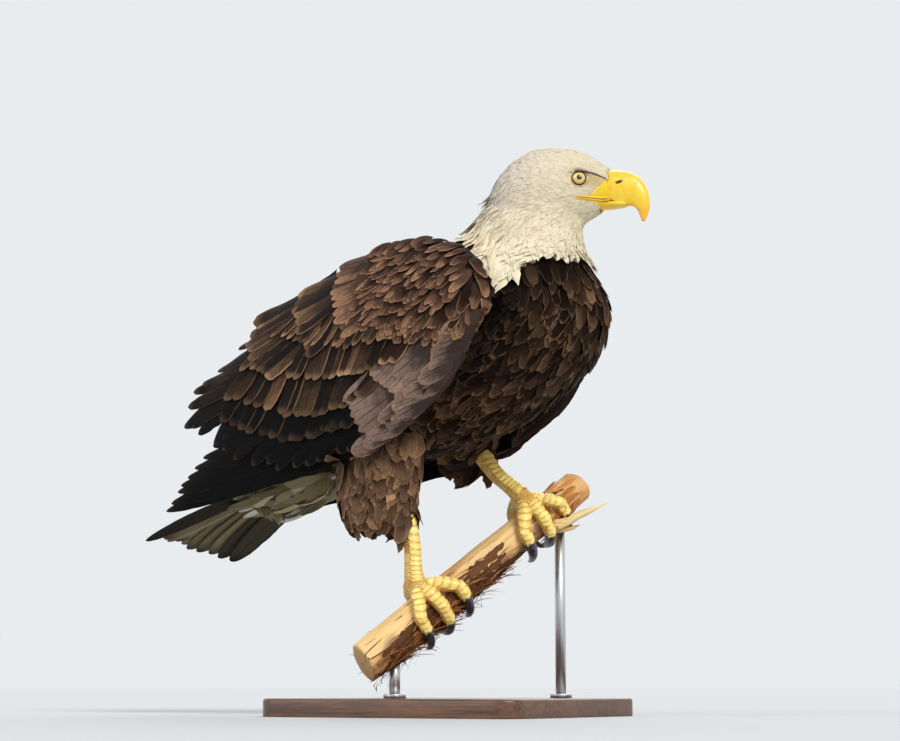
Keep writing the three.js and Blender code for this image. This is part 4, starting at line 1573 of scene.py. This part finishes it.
# places are shares of the wing's box: back from its front, and up from its foot
usualRow = {"pattern": "covert", "kind": "round", "bend": 0.01, "faded": 0, "dark": 0}
flightRow = {**usualRow, "pattern": "flight", "kind": "flight", "tint": "flight", "roll": 4.5}
bandRow = {**usualRow, "tint": "band", "roll": 4.0}  # the grey-brown ones along the wing's front edge
coverRow = {**usualRow, "kind": "square", "tint": "wing", "roll": 6.0}
wingRows = [
    # primaries
    dict(
        flightRow, count=9, half=0.0165, roots=[(0.22, 0.25), (0.36, 0.38)],
        tips=[(1.0, 0.0), (0.955, 0.10), (0.88, 0.19), (0.79, 0.28)],
        depth=(0.011, 0.002), roll=4.0, bend=0.02, fringe=0.05,
    ),
    # secondaries
    dict(
        flightRow, count=13, half=0.021, roots=[(0.24, 0.42), (0.62, 0.62)],
        tips=[(0.38, 0.17), (0.55, 0.13), (0.74, 0.19), (0.915, 0.35)],
        depth=(0.009, 0.0025), bend=0.012, fringe=0.12,
    ),
    # tertials
    dict(
        flightRow, count=7, half=0.023, roots=[(0.50, 0.64), (0.58, 0.84)],
        tips=[(0.935, 0.36), (0.915, 0.47), (0.86, 0.58), (0.79, 0.72)],
        depth=(0.008, 0.002), fringe=0.2, faded=0.1,
    ),
    # primary coverts
    dict(
        bandRow, count=11, half=0.0130, roots=[(0.05, 0.47), (0.20, 0.53)],
        tips=[(0.325, 0.195), (0.375, 0.36)], depth=(0.007, 0.0015), bend=0.015, fringe=0.15,
    ),
    # the lower greater coverts
    dict(
        coverRow, count=15, half=0.0150, roots=[(0.27, 0.50), (0.72, 0.62)],
        tips=[(0.40, 0.27), (0.55, 0.225), (0.80, 0.335)],
        depth=(0.0078, 0.002), bend=0.008, tint="flight", fringe=0.14,
    ),
    # greater coverts
    dict(
        coverRow, count=17, half=0.0140, roots=[(0.24, 0.56), (0.72, 0.70)],
        tips=[(0.325, 0.36), (0.50, 0.31), (0.775, 0.42)],
        depth=(0.0068, 0.0012), bend=0.008, fringe=0.6, faded=0.6, dark=0.7,
    ),
    # small primary coverts
    dict(
        bandRow, count=7, half=0.0120, roots=[(0.07, 0.57), (0.24, 0.60)],
        tips=[(0.235, 0.345), (0.31, 0.44)], depth=(0.006, 0.0012), bend=0.012, fringe=0.35,
    ),
    # lower edge coverts
    dict(
        bandRow, count=17, half=0.0100,
        roots=[(0.03, 0.53), (0.10, 0.41), (0.19, 0.30), (0.28, 0.225)],
        tips=[(0.12, 0.45), (0.19, 0.33), (0.28, 0.225), (0.37, 0.165)],
        depth=(0.0026, -0.0004), fringe=0.3,
    ),
    # edge coverts
    dict(
        bandRow, count=15, half=0.0100,
        roots=[(0.004, 0.62), (0.04, 0.52), (0.11, 0.42), (0.18, 0.35)],
        tips=[(0.085, 0.55), (0.13, 0.44), (0.20, 0.345), (0.27, 0.27)],
        depth=(0.0018, -0.0010), fringe=0.4,
    ),
    # alula
    dict(
        bandRow, count=4, half=0.0125, roots=[(0.035, 0.55), (0.10, 0.58)],
        tips=[(0.175, 0.325), (0.225, 0.42)], depth=(0.005, 0.0008), bend=0.012, fringe=0.2,
    ),
    # median coverts
    dict(
        coverRow, count=19, half=0.0120, roots=[(0.17, 0.66), (0.69, 0.80)],
        tips=[(0.24, 0.47), (0.45, 0.44), (0.75, 0.55)],
        depth=(0.006, 0.0006), bend=0.008, fringe=0.9, faded=0.8, dark=0.45,
    ),
    # the lower lesser coverts
    dict(
        coverRow, kind="round", count=20, half=0.0110, roots=[(0.115, 0.72), (0.62, 0.88)],
        tips=[(0.17, 0.555), (0.39, 0.56), (0.68, 0.66)],
        depth=(0.0055, 0.0002), bend=0.008, fringe=0.9, faded=0.7, dark=0.45,
    ),
    # long scapulars
    dict(
        coverRow, count=9, half=0.0160, roots=[(0.52, 0.70), (0.56, 0.84), (0.54, 0.93)],
        tips=[(0.65, 0.49), (0.765, 0.64), (0.785, 0.765)],
        depth=(0.0052, 0.0006), fringe=0.6, faded=0.5, dark=0.5,
    ),
    # middle scapulars
    dict(
        coverRow, count=10, half=0.0145, roots=[(0.41, 0.73), (0.45, 0.87), (0.42, 0.955)],
        tips=[(0.52, 0.55), (0.62, 0.73), (0.655, 0.865)],
        depth=(0.005, 0.0003), fringe=0.7, faded=0.6, dark=0.5,
    ),
    # short scapulars
    dict(
        coverRow, kind="round", tint="shoulder", count=11, half=0.0130,
        roots=[(0.29, 0.75), (0.32, 0.88), (0.27, 0.95)],
        tips=[(0.40, 0.60), (0.49, 0.78), (0.52, 0.935)],
        depth=(0.0048, 0.0), fringe=0.7, faded=0.6, dark=0.3,
    ),
]


class Wing:
    # the outer face of a folded wing, as how far out it stands over its side view
    def __init__(self, name, side):
        self.side = side
        self.low, self.high = boxOf("wing_" + name)
        tree = surfaceOf(["wing_" + name])[0]
        self.grid = (90, 60)
        out = np.full(self.grid, np.nan)
        for i, a in enumerate(np.linspace(-0.05, 1.05, self.grid[0])):
            for j, b in enumerate(np.linspace(-0.05, 1.05, self.grid[1])):
                x, z = self.spot(a, b)
                hit = tree.ray_cast((x, side * 0.3, z), (0, -side, 0))
                if hit[0]:
                    out[i, j] = hit[0].y * side
        while np.isnan(out).any():
            padded = np.pad(out, 1, constant_values=np.nan)
            near = np.stack([padded[1 + i:self.grid[0] + 1 + i, 1 + j:self.grid[1] + 1 + j]
                             for i in (-1, 0, 1) for j in (-1, 0, 1)])
            known = (~np.isnan(near)).sum(0)
            filled = np.nansum(near, 0) / np.maximum(known, 1)
            out = np.where(np.isnan(out) & (known > 0), filled, out)
        for i in range(6):
            padded = np.pad(out, 1, mode="edge")
            around = padded[:-2, 1:-1] + padded[2:, 1:-1] + padded[1:-1, :-2] + padded[1:-1, 2:]
            out = (around + 2 * out) / 6
        self.out = out

    def spot(self, back, rise):
        return mix(self.high[0], self.low[0], back), mix(self.low[2], self.high[2], rise)

    def shares(self, places):
        size = self.high - self.low
        return (self.high[0] - places[:, 0]) / size[0], (places[:, 2] - self.low[2]) / size[2]

    def standing(self, back, rise):
        i = np.clip((back + 0.05) / 1.1 * (self.grid[0] - 1), 0, self.grid[0] - 1.001)
        j = np.clip((rise + 0.05) / 1.1 * (self.grid[1] - 1), 0, self.grid[1] - 1.001)
        p, q = i.astype(int), j.astype(int)
        s, t = i - p, j - q
        first = self.out[p, q] * (1 - t) + self.out[p, q + 1] * t
        second = self.out[p + 1, q] * (1 - t) + self.out[p + 1, q + 1] * t
        return first * (1 - s) + second * s

    def place(self, back, rise, depth):
        x, z = self.spot(back, rise)
        y = self.standing(back, rise)
        size = self.high - self.low
        step = 0.01
        slopeX = self.standing(back + step, rise) - self.standing(back - step, rise)
        slopeX = slopeX / (-2 * step * size[0])
        slopeZ = self.standing(back, rise + step) - self.standing(back, rise - step)
        slopeZ = slopeZ / (2 * step * size[2])
        normal = unit(np.stack([-slopeX, np.ones_like(y), -slopeZ], -1))
        point = np.stack([x, y, z], -1) - normal * depth[..., None]
        point[..., 1] *= self.side
        normal[..., 1] *= self.side
        return point, normal


# where darker feathers crowd together: back, up and how widely, as shares of the wing
darkPatches = [(0.40, 0.36, 0.13), (0.36, 0.68, 0.08), (0.88, 0.50, 0.12)]


def wingRow(skin, wing, row):
    along = spacing(templates[row["pattern"]], usualCrowd)
    count = row["count"]
    share = (np.arange(count) + chance.normal(0, 0.12, count)) / (count - 1)
    share = np.clip(share, 0, 1)
    roots = curveAt(row["roots"], share)
    tips = curveAt(row["tips"], share) + chance.normal(0, 0.006, (count, 2))
    run = tips - roots
    square = unit(np.stack([-run[:, 1], run[:, 0]], 1))
    bow = row["bend"] * np.sin(np.pi * along)
    spread = between(roots, tips, along) - square[:, None] * bow[:, None]
    depth = mix(*row["depth"], along)[None, :] + chance.uniform(0, 0.0006, count)[:, None]
    spine, normals = wing.place(spread[..., 0], spread[..., 1], depth)
    tangent = unit(spine[:, -1] - spine[:, 0])
    aside = np.cross(normals[:, 0], tangent)
    onward = np.gradient(spine[:, -1], axis=0)
    lean = -np.sign((aside * onward).sum(1)) * math.radians(row["roll"])
    lean = lean * chance.uniform(0.8, 1.2, count)
    root = skin.mapUnder(spine[:, 0]) + chance.uniform(-0.002, 0.002, (count, 2))
    # old feathers have faded to tan, and new ones are still nearly black
    faded = row["faded"] * chance.random(count) ** 2
    patch = np.full(count, 0.85)
    for back, rise, wide in darkPatches:
        patch += 1.2 * np.exp(-((tips[:, 0] - back) ** 2 + (tips[:, 1] - rise) ** 2) / wide ** 2)
    new = (chance.random(count) < row["dark"] * patch) * chance.uniform(0.6, 1.0, count)
    fringe = row["fringe"] * (1 - 0.7 * new)
    tint = tinted(brown[row["tint"]], count, 0.12, fringe, brown["faded"], faded)
    retint(tint, brown["flight"], 0.85 * new)
    width = row["half"] * chance.uniform(0.93, 1.07, count)
    kinds = row["pattern"], row["kind"]
    return vanes(*kinds, spine, normals, width, 0.0009, 0.12, tint, root, lean, 0.03)


shoulderLook = {"gap": 0.0085, "length": 0.030, "half": 0.0080}


def makeShoulder(skin, wing, name, material):
    # short feathers over the wing's bend
    look = shoulderLook

    def onShoulder(places, normals):
        back, rise = wing.shares(places)
        outward = normals[:, 1] * wing.side
        outer = (outward > -0.3) & (rise > 0.5 + 0.6 * back) & (back < 0.36)
        inner = (outward < -0.05) | (rise > 0.63)
        return outer | (normals[:, 0] > 0.3) & (rise > 0.12) & (back < 0.3) & inner

    def flow(places):
        down = 1.9 * smooth(1.0, 0.75, wing.shares(places)[1]) + 0.45
        return np.stack([np.full(len(places), -1.0), np.zeros(len(places)), -down], 1)

    places = scatter(skin, ["wing_" + name], evenly(look["gap"]), onShoulder, seed=9)
    count = len(places)
    # the low ones, between wing and breast, are short and lie close
    close = smooth(0.62, 0.52, wing.shares(places)[1])
    length = look["length"] * chance.uniform(0.8, 1.2, count) * (1 - 0.5 * close)
    high = chance.uniform(0.0065, 0.0085, count) * (1 - 0.7 * close)
    low = 0.0015 * (1 - 0.7 * close)
    spine, normals, root = layOnSkin(skin, "body", places, flow, length, low, high, 0.88, 0.12)
    width = look["half"] * chance.uniform(0.85, 1.15, count)
    # patches of older, paler feathers lie between darker ones
    x, z = places[:, 0], places[:, 2]
    patch = smooth(-0.4, 0.9, np.sin(x * 95 + 1.0) * np.sin(z * 120 + x * 40))
    share = patch * chance.random(count) * 0.8
    tint = tinted(brown["shoulder"], count, 0.22, 0.7, brown["faded"], share)
    retint(tint, brown["body"], (1 - patch) * chance.uniform(0.2, 0.9, count))
    roll = chance.normal(0, 0.1, count)
    batch = vanes("body", "body", spine, normals, width, 0.0008, 0.25, tint, root, roll, 0.05)
    featherPiece("shoulder_feathers_" + name, [batch], material)


def makeWing(skin, name, side, materials):
    wing = Wing(name, side)
    for pattern, piece in (("flight", "flight_feathers_"), ("covert", "coverts_")):
        rows = [wingRow(skin, wing, row) for row in wingRows if row["pattern"] == pattern]
        featherPiece(piece + name, rows, materials[pattern])
    makeShoulder(skin, wing, name, materials["covert"])


# ---- claws


def clawMaterial():
    sheet = Sheet("claw_horn", 0.28, Coat_Weight=0.4, Coat_Roughness=0.15)
    cloud = sheet.noise(sheet.here(), 160.0, 4.0, 0.6)
    fine = sheet.noise(sheet.here(), 1200.0, 3.0, 0.6)
    colour = sheet.wash(paint(30, 29, 32), cloud, 0.35, 0.65, paint(66, 68, 76))
    colour = sheet.wash(colour, fine, 0.55, 0.8, paint(112, 108, 104), 0.4)
    return sheet.done(colour, sheet.bump(fine, 0.0002, 0.4))


clawLook = {
    "reach": 83,  # degrees round the wood
    "rise": 6.2,  # millimetres further out at the tip
    "sunk": 13,  # degrees inside the toe's end
    "thickness": ([0, 0.15, 0.45, 0.75, 1], [0.74, 0.74, 0.61, 0.36, 0.05]),  # of the toe's, by share
    "flat": (1.12, 0.9, 0.9),
}


def makeClaws(material):
    look = clawLook
    for name, side in sides.items():
        parts = []
        for toe, values in footLook["toes"].items():
            sign = math.copysign(1, values["reach"])
            place = footLook["places"][name] - side * values["spread"]
            share = np.linspace(0, 1, 8)
            start = values["reach"] - sign * look["sunk"]
            height = values["radius"] * (0.86 - 0.10 * share) + look["rise"] * share ** 1.4
            path = besideBranch(np.full(8, float(place)), start + sign * look["reach"] * share, height)
            thick = values["radius"] * np.interp(share, *look["thickness"]) / 1000
            # the back of the claw is the side away from the wood
            up = branchAxis * sign
            parts.append(loft(path, thick[:, None] * look["flat"], up, 20, 36, ends=(0.06, 0.05)))
        replaced = ["claw_%s_%s" % (name, toe) for toe in footLook["toes"]]
        finishPiece("claws_on_%s_foot" % name, gathered(*parts), material, replaced)


# ---- the branch

barkLook = {
    # how many, from where along the branch and round it, their lengths, half widths, lift and curl, and
    # how far they twist and hang
    "flakes": {
        "pattern": "covert", "count": 70, "along": (-80, 120), "turn": (160, 36), "length": (24, 75),
        "half": (2.4, 7.0), "lift": (0.2, 1.6), "peel": 2.6, "twist": 8, "thick": 1.1, "hang": 0,
        "colour": paint(104, 68, 44), "ragged": 0.4,
    },
    "shreds": {
        "pattern": "covert", "count": 70, "along": (-78, 105), "turn": (156, 36), "length": (18, 60),
        "half": (0.7, 2.2), "lift": (0.8, 2.6), "peel": 6.0, "twist": 16, "thick": 0.7, "hang": 7,
        "colour": paint(176, 116, 64), "ragged": 0.35,
    },
    "fibres": {
        "pattern": "tuft", "count": 300, "along": (-60, 118), "turn": (165, 50), "length": (-64, 48),
        "half": (0.25, 0.7), "lift": (0.6, 2.2), "peel": 3.5, "twist": 26, "thick": 0.5, "hang": 9,
        "colour": paint(122, 76, 46), "ragged": 0.1,
    },
    "upper": {
        "pattern": "covert", "count": 26, "along": (222, 256), "turn": (105, 50), "length": (-50, -20),
        "half": (1.0, 3.2), "lift": (0.3, 1.4), "peel": 7.0, "twist": 14, "thick": 0.8, "hang": 6,
        "colour": paint(222, 152, 84), "ragged": 0.3,
    },
}

branchLook = {
    # lines of the torn slivers, in millimetres, and their half widths
    "slivers": [
        ([(70, 84, 222), (92, 90, 217), (117, 96, 228), (147, 105, 241)], 7.6),
        ([(74, 92, 217), (86, 95, 212), (100, 100, 213), (112, 104, 217)], 5.4),
        ([(66, 80, 214), (80, 82, 209), (92, 88, 214), (104, 92, 225)], 3.6),
    ],
    "taper": [(1, 0.85, 0.85), (1, 0.8, 0.75), (0.75, 0.55, 0.5), (0.06, 0.06, 0.06)],
    # knots: along, round in radians, and size
    "knots": [(-38, 0.9, 10), (96, 2.2, 12), (136, -1.9, 9), (236, 0.4, 9)],
    # top and under are painted light and shade: a paler top and a browner underside
    "top": paint(243, 206, 142),
    "under": paint(206, 138, 74),
    "bands": paint(198, 126, 62),
    "bark": paint(116, 76, 46),
    "fresh": paint(255, 226, 166),
}


def grainAt(distance, turn):
    # the wood's lengthwise ridges and gentle knots, in millimetres
    ridges = 0.30 * np.sin(7 * turn + 0.03 * distance)
    ridges += 0.22 * np.sin(13 * turn - 0.021 * distance + 1.3)
    ridges += 0.16 * np.sin(23 * turn + 0.05 * distance + 2.0 * np.sin(0.013 * distance))
    swells = 0.8 * np.sin(distance / 31 + 0.8) + 0.45 * np.sin(distance / 13.7 + 2 * turn)
    knots = 0
    for near, at, size in branchLook["knots"]:
        off = (np.mod(turn - at + np.pi, 2 * np.pi) - np.pi) * wood["radius"]
        knots = knots + 2.6 * np.exp(-((distance - near) ** 2 + off ** 2) / size ** 2)
    return ridges + swells + knots


def grooved(turn, along):
    # the split face of a torn piece
    size = 1 + 0.16 * np.sin(3 * turn + 9 * along) + 0.08 * np.sin(7 * turn - 14 * along)
    return np.cos(turn) * size, np.sin(turn) * size


def makeBranch(material):
    look = branchLook
    low, high = wood["ends"]

    def shape(round, along):
        turn = 2 * np.pi * round
        # the first and last rows close the cut ends
        cut = np.clip(np.minimum(along, 1 - along) / 0.05, 0, 1)
        span = np.clip((along - 0.05) / 0.9, 0, 1)
        distance = low + (high - low) * span
        slope = 3.5 * np.cos(turn + 0.6) * np.where(along < 0.5, 1 - smooth(0, 0.1, span), 0)
        slope = slope + 4.5 * np.cos(turn - 1.9) * smooth(0.9, 1.0, span)
        bevel = 1 - 0.045 * np.clip(1 - np.minimum(span, 1 - span) / 0.004, 0, 1)
        plain = branchRadius(distance) * 1000
        radius = (plain + grainAt(distance, turn)) * cut * np.where(cut < 1, 0.955, bevel)
        dome = 0.5 * (1 - cut ** 2) * np.where(along < 0.5, -1, 1)
        place = distance + slope * np.where(cut < 1, cut, 1) + dome
        return besideBranch(place, np.degrees(turn), radius - plain)

    parts = [swept(shape, 96, 150)]
    # torn slivers that stick out beyond the far foot
    for path, wide in look["slivers"]:
        sizes = np.array(look["taper"]) * wide / 1000
        parts.append(loft(np.array(path) / 1000, sizes, outOfBranch, 14, 40, grooved, (0.04, 0.03)))
    piece = finishPiece("branch_wood", gathered(*parts), material, ["perch_branch"])
    points = readOut(piece.data.vertices, "co", 3) - branchStart
    distance = points @ branchAxis * 1000
    across = points - np.outer(points @ branchAxis, branchAxis)
    off = np.linalg.norm(across, axis=1) * 1000
    out = off / (branchRadius(distance) * 1000)
    turn = np.arctan2(across @ overBranch, across @ outOfBranch)
    cut = smooth(0.93, 0.86, out) * (np.minimum(distance - low, high - distance) < 7)
    # a map that follows the grain, so that streaks run along the wood
    grain = np.stack([np.cos(turn) * 0.022, np.sin(turn) * 0.022, distance / 1000 * 0.07], 1)
    ragged = 0.22 * np.sin(distance / 21 + 3 * turn) + 0.16 * np.sin(distance / 9 + 1.0)
    bark = smooth(0.35, 0.75, 0.5 - 0.5 * np.cos(turn - 0.25) + ragged) * smooth(215, 150, distance)
    # painted light and shade: paler on top and browner underneath
    tone = mix(look["top"], look["under"], smooth(0.3, 1.0, 0.5 - 0.5 * np.cos(turn))[:, None])
    retint(tone, look["bands"], 0.5 * smooth(0.2, 0.9, np.sin(distance / 37 + turn)))
    retint(tone, look["bark"], 0.8 * bark)
    # freshly split wood is paler
    retint(tone, look["fresh"], smooth(1.06, 1.22, out))
    coloured(piece.data, "tone", tone, cut)
    made = piece.data.attributes.new("grain", "FLOAT_VECTOR", "POINT")
    made.data.foreach_set("vector", grain.ravel())
    made = piece.data.attributes.new("off", "FLOAT", "POINT")
    made.data.foreach_set("value", off)


def woodMaterial():
    sheet = Sheet("peeled_wood", 0.62, Specular_IOR_Level=0.35)
    grain = sheet.stored("grain", "Vector")
    tone = sheet.stored("tone")
    streak = sheet.noise(grain, 900.0, 5.0, 0.65)
    broad = sheet.noise(grain, 170.0, 4.0, 0.6)
    crack = sheet.range(sheet.noise(grain, 420.0, 2.0, 0.5), 0.64, 0.70)
    dark = sheet.blend(0.7, tone, (0.72, 0.58, 0.44), "MULTIPLY")
    colour = sheet.wash(tone, broad, 0.40, 0.72, dark)
    colour = sheet.wash(colour, streak, 0.48, 0.78, paint(255, 232, 184), 0.5)
    colour = sheet.wash(colour, streak, 0.42, 0.26, paint(150, 98, 56), 0.5)
    colour = sheet.blend(sheet.times(crack, 0.75), colour, paint(70, 44, 28))
    # the cut ends show rings
    off = sheet.stored("off", "Fac")
    wobble = sheet.times(sheet.noise(sheet.here(), 60.0, 3.0), 3.0)
    ring = sheet.math("SINE", sheet.times(sheet.math("ADD", off, wobble), 4.2))
    end = sheet.wash(paint(214, 176, 124), ring, -0.4, 0.9, paint(166, 120, 74))
    end = sheet.wash(end, off, 3.0, 0.6, paint(112, 72, 42), 0.6)
    colour = sheet.blend(sheet.stored("tone", "Alpha"), colour, end)
    height = sheet.math("SUBTRACT", sheet.times(streak, 0.7), crack)
    return sheet.done(colour, sheet.bump(height, 0.0012, 0.6))


def barkMaterial():
    sheet = Sheet("torn_bark", 0.85, Specular_IOR_Level=0.2)
    tint = sheet.stored("tint")
    streak = sheet.noise(sheet.lay("vane"), 9.0, 5.0, 0.7, (3.0, 0.5, 1.0))
    fine = sheet.noise(sheet.here(), 700.0, 4.0, 0.6)
    dark = sheet.blend(0.8, tint, (0.45, 0.36, 0.3), "MULTIPLY")
    colour = sheet.wash(tint, streak, 0.35, 0.7, dark)
    colour = sheet.wash(colour, fine, 0.6, 0.8, paint(222, 166, 108), 0.5)
    height = sheet.math("ADD", streak, sheet.times(fine, 0.4))
    return sheet.done(colour, sheet.bump(height, 0.0012, 0.8))


def barkStrips(look):
    count = look["count"]
    template = templates[look["pattern"]]
    share = spacing(template, 1.0)[None, :]
    start = chance.uniform(*look["along"], count)[:, None]
    turn = chance.normal(*look["turn"], count)[:, None]
    length = chance.uniform(*look["length"], count)[:, None]
    twist = chance.normal(0, look["twist"], count)[:, None]
    rows = np.linspace(0, 1, template["rows"] + 1)[None, :]
    swing = chance.normal(0, 1, (count, 1)) * 3.0 * np.sin(np.pi * rows)
    degrees = turn + twist * rows + swing
    distance = np.clip(start + length * rows, wood["ends"][0] + 1, wood["ends"][1] - 1)
    peel = chance.exponential(look["peel"], count)
    off = grainAt(distance, np.radians(degrees)) + chance.uniform(*look["lift"], count)[:, None]
    off = off + np.minimum(peel, 16)[:, None] * share ** 2.2
    spine = besideBranch(distance, degrees, off)
    spine[..., 2] -= look["hang"] / 1000 * share ** 2 * chance.uniform(0.2, 1, (count, 1))
    root = [(distance[:, 0] + 90) / 360, ((degrees[:, 0] + 180) % 360) / 360]
    root = np.stack([0.1 + 0.8 * part for part in root], 1)
    tint = tinted(look["colour"], count, 0.28, 0.5)
    half = chance.uniform(*look["half"], count) / 1000
    roll = chance.normal(0, 0.15, count)
    return vanes(
        look["pattern"], "strip", spine, outOfWood(spine), half, look["thick"] / 1000, 0.2, tint, root,
        roll, look["ragged"], 1.0, 0.35,
    )


def makeBark(material):
    featherPiece("torn_bark", [barkStrips(look) for look in barkLook.values()], material)


# ---- the stand

standLook = {
    "corner": 0.026,
    "edges": {"top": 0.0032, "foot": 0.0012, "collar": 0.0012},
    "rod": 0.006,
    "sunk": 0.004,  # how far the rods reach into the branch beyond their box
    "collar": 0.0125,
    "collarHeight": 0.005,
}


def baseMaterial():
    sheet = Sheet("stand_wood", 0.38, Coat_Weight=0.2, Coat_Roughness=0.3)
    here = sheet.here()
    grain = sheet.noise(here, 26.0, 6.0, 0.6, (0.6, 7.0, 7.0))
    pores = sheet.noise(here, 240.0, 2.0, 0.5, (0.12, 2.4, 2.4))
    broad = sheet.math("MULTIPLY_ADD", sheet.noise(here, 5.0, 2.0), 0.5, grain)
    colour = sheet.wash(paint(66, 42, 29), broad, 0.55, 0.95, paint(112, 75, 50))
    colour = sheet.wash(colour, pores, 0.6, 0.72, paint(36, 22, 15), 0.7)
    return sheet.done(colour, sheet.bump(pores, -0.0004, 0.5), sheet.range(grain, 0.3, 0.7, 0.34, 0.46))


def steelMaterial():
    sheet = Sheet("stand_steel", 0.36, Metallic=1.0)
    fine = sheet.noise(sheet.here(), 500.0, 3.0, 0.6, (1.0, 1.0, 0.06))
    colour = sheet.blend(fine, paint(186, 188, 190), paint(216, 216, 214))
    return sheet.done(colour, sheet.bump(fine, 0.0001, 0.25), sheet.range(fine, 0.3, 0.7, 0.3, 0.44))


def bevelled(bm, edges, size, segments):
    shape = {"offset": size, "segments": segments, "profile": 0.5}
    bmesh.ops.bevel(bm, geom=edges, affect="EDGES", material=-1, **shape)


def upright(bm, radius, height, middle, foot):
    size = {"radius1": radius, "radius2": radius, "depth": height}
    made = bmesh.ops.create_cone(bm, cap_ends=True, segments=48, **size)
    bmesh.ops.translate(bm, verts=made["verts"], vec=(middle[0], middle[1], foot + height / 2))
    return made["verts"]


def makeStand():
    look = standLook
    low, high = boxOf("stand_base")
    bm = bmesh.new()
    bmesh.ops.create_cube(bm, size=1)
    bmesh.ops.scale(bm, verts=bm.verts, vec=Vector(high - low))
    bmesh.ops.translate(bm, verts=bm.verts, vec=Vector((low + high) / 2))
    corners = [e for e in bm.edges if abs((e.verts[0].co - e.verts[1].co).z) > 0.01]
    bevelled(bm, corners, look["corner"], 12)
    for level, name in ((high[2], "top"), (low[2], "foot")):
        rim = [e for e in bm.edges if all(abs(v.co.z - level) < 1e-5 for v in e.verts)]
        bevelled(bm, rim, look["edges"][name], 5)
    finishPiece("display_base", bm, baseMaterial(), ["stand_base"])
    steel = steelMaterial()
    for name in ("low", "high"):
        rodLow, rodHigh = boxOf("stand_rod_" + name)
        middle = (rodLow + rodHigh) / 2
        bm = bmesh.new()
        upright(bm, look["rod"], rodHigh[2] - rodLow[2] + look["sunk"], middle, rodLow[2])
        collar = upright(bm, look["collar"], look["collarHeight"], middle, high[2])
        level = high[2] + look["collarHeight"] * 0.9
        edges = {e for v in collar for e in v.link_edges if min(end.co.z for end in e.verts) > level}
        bevelled(bm, list(edges), look["edges"]["collar"], 4)
        finishPiece("steel_rod_" + name, bm, steel, ["stand_rod_" + name])


# ---- build

placeCamera()
makeStudio()
coverts, flights, downs, whites, tails = (
    featherMaterial(name + "_vanes", look) for name, look in vaneLooks.items()
)

skin = Skin(*makeSkinMesh())
print("skin", len(skin.faces), "triangles")
legs = legMaterial()
makeSkin(skin, legs)
eyes = eyeMaterial()
for name, side in sides.items():
    makeEye(name, side, eyes)
makeBill(skin, billMaterial())
makeClaws(clawMaterial())
makeFootPlates(skin, scuteMaterial())

makeHeadFeathers(skin, whites)
makeBodyFeathers(skin, "breast", bodyFlow, darkBody, downs)
makeBodyFeathers(skin, "thigh", thighFlow, lambda places, normals: True, downs)
makeBodyFeathers(skin, "vent", rumpFlow, lambda places, normals: whiteTail(places), whites)
makeTail(skin, tails)
for name, side in sides.items():
    makeWing(skin, name, side, {"flight": flights, "covert": coverts})

makeBranch(woodMaterial())
makeBark(barkMaterial())
makeStand()
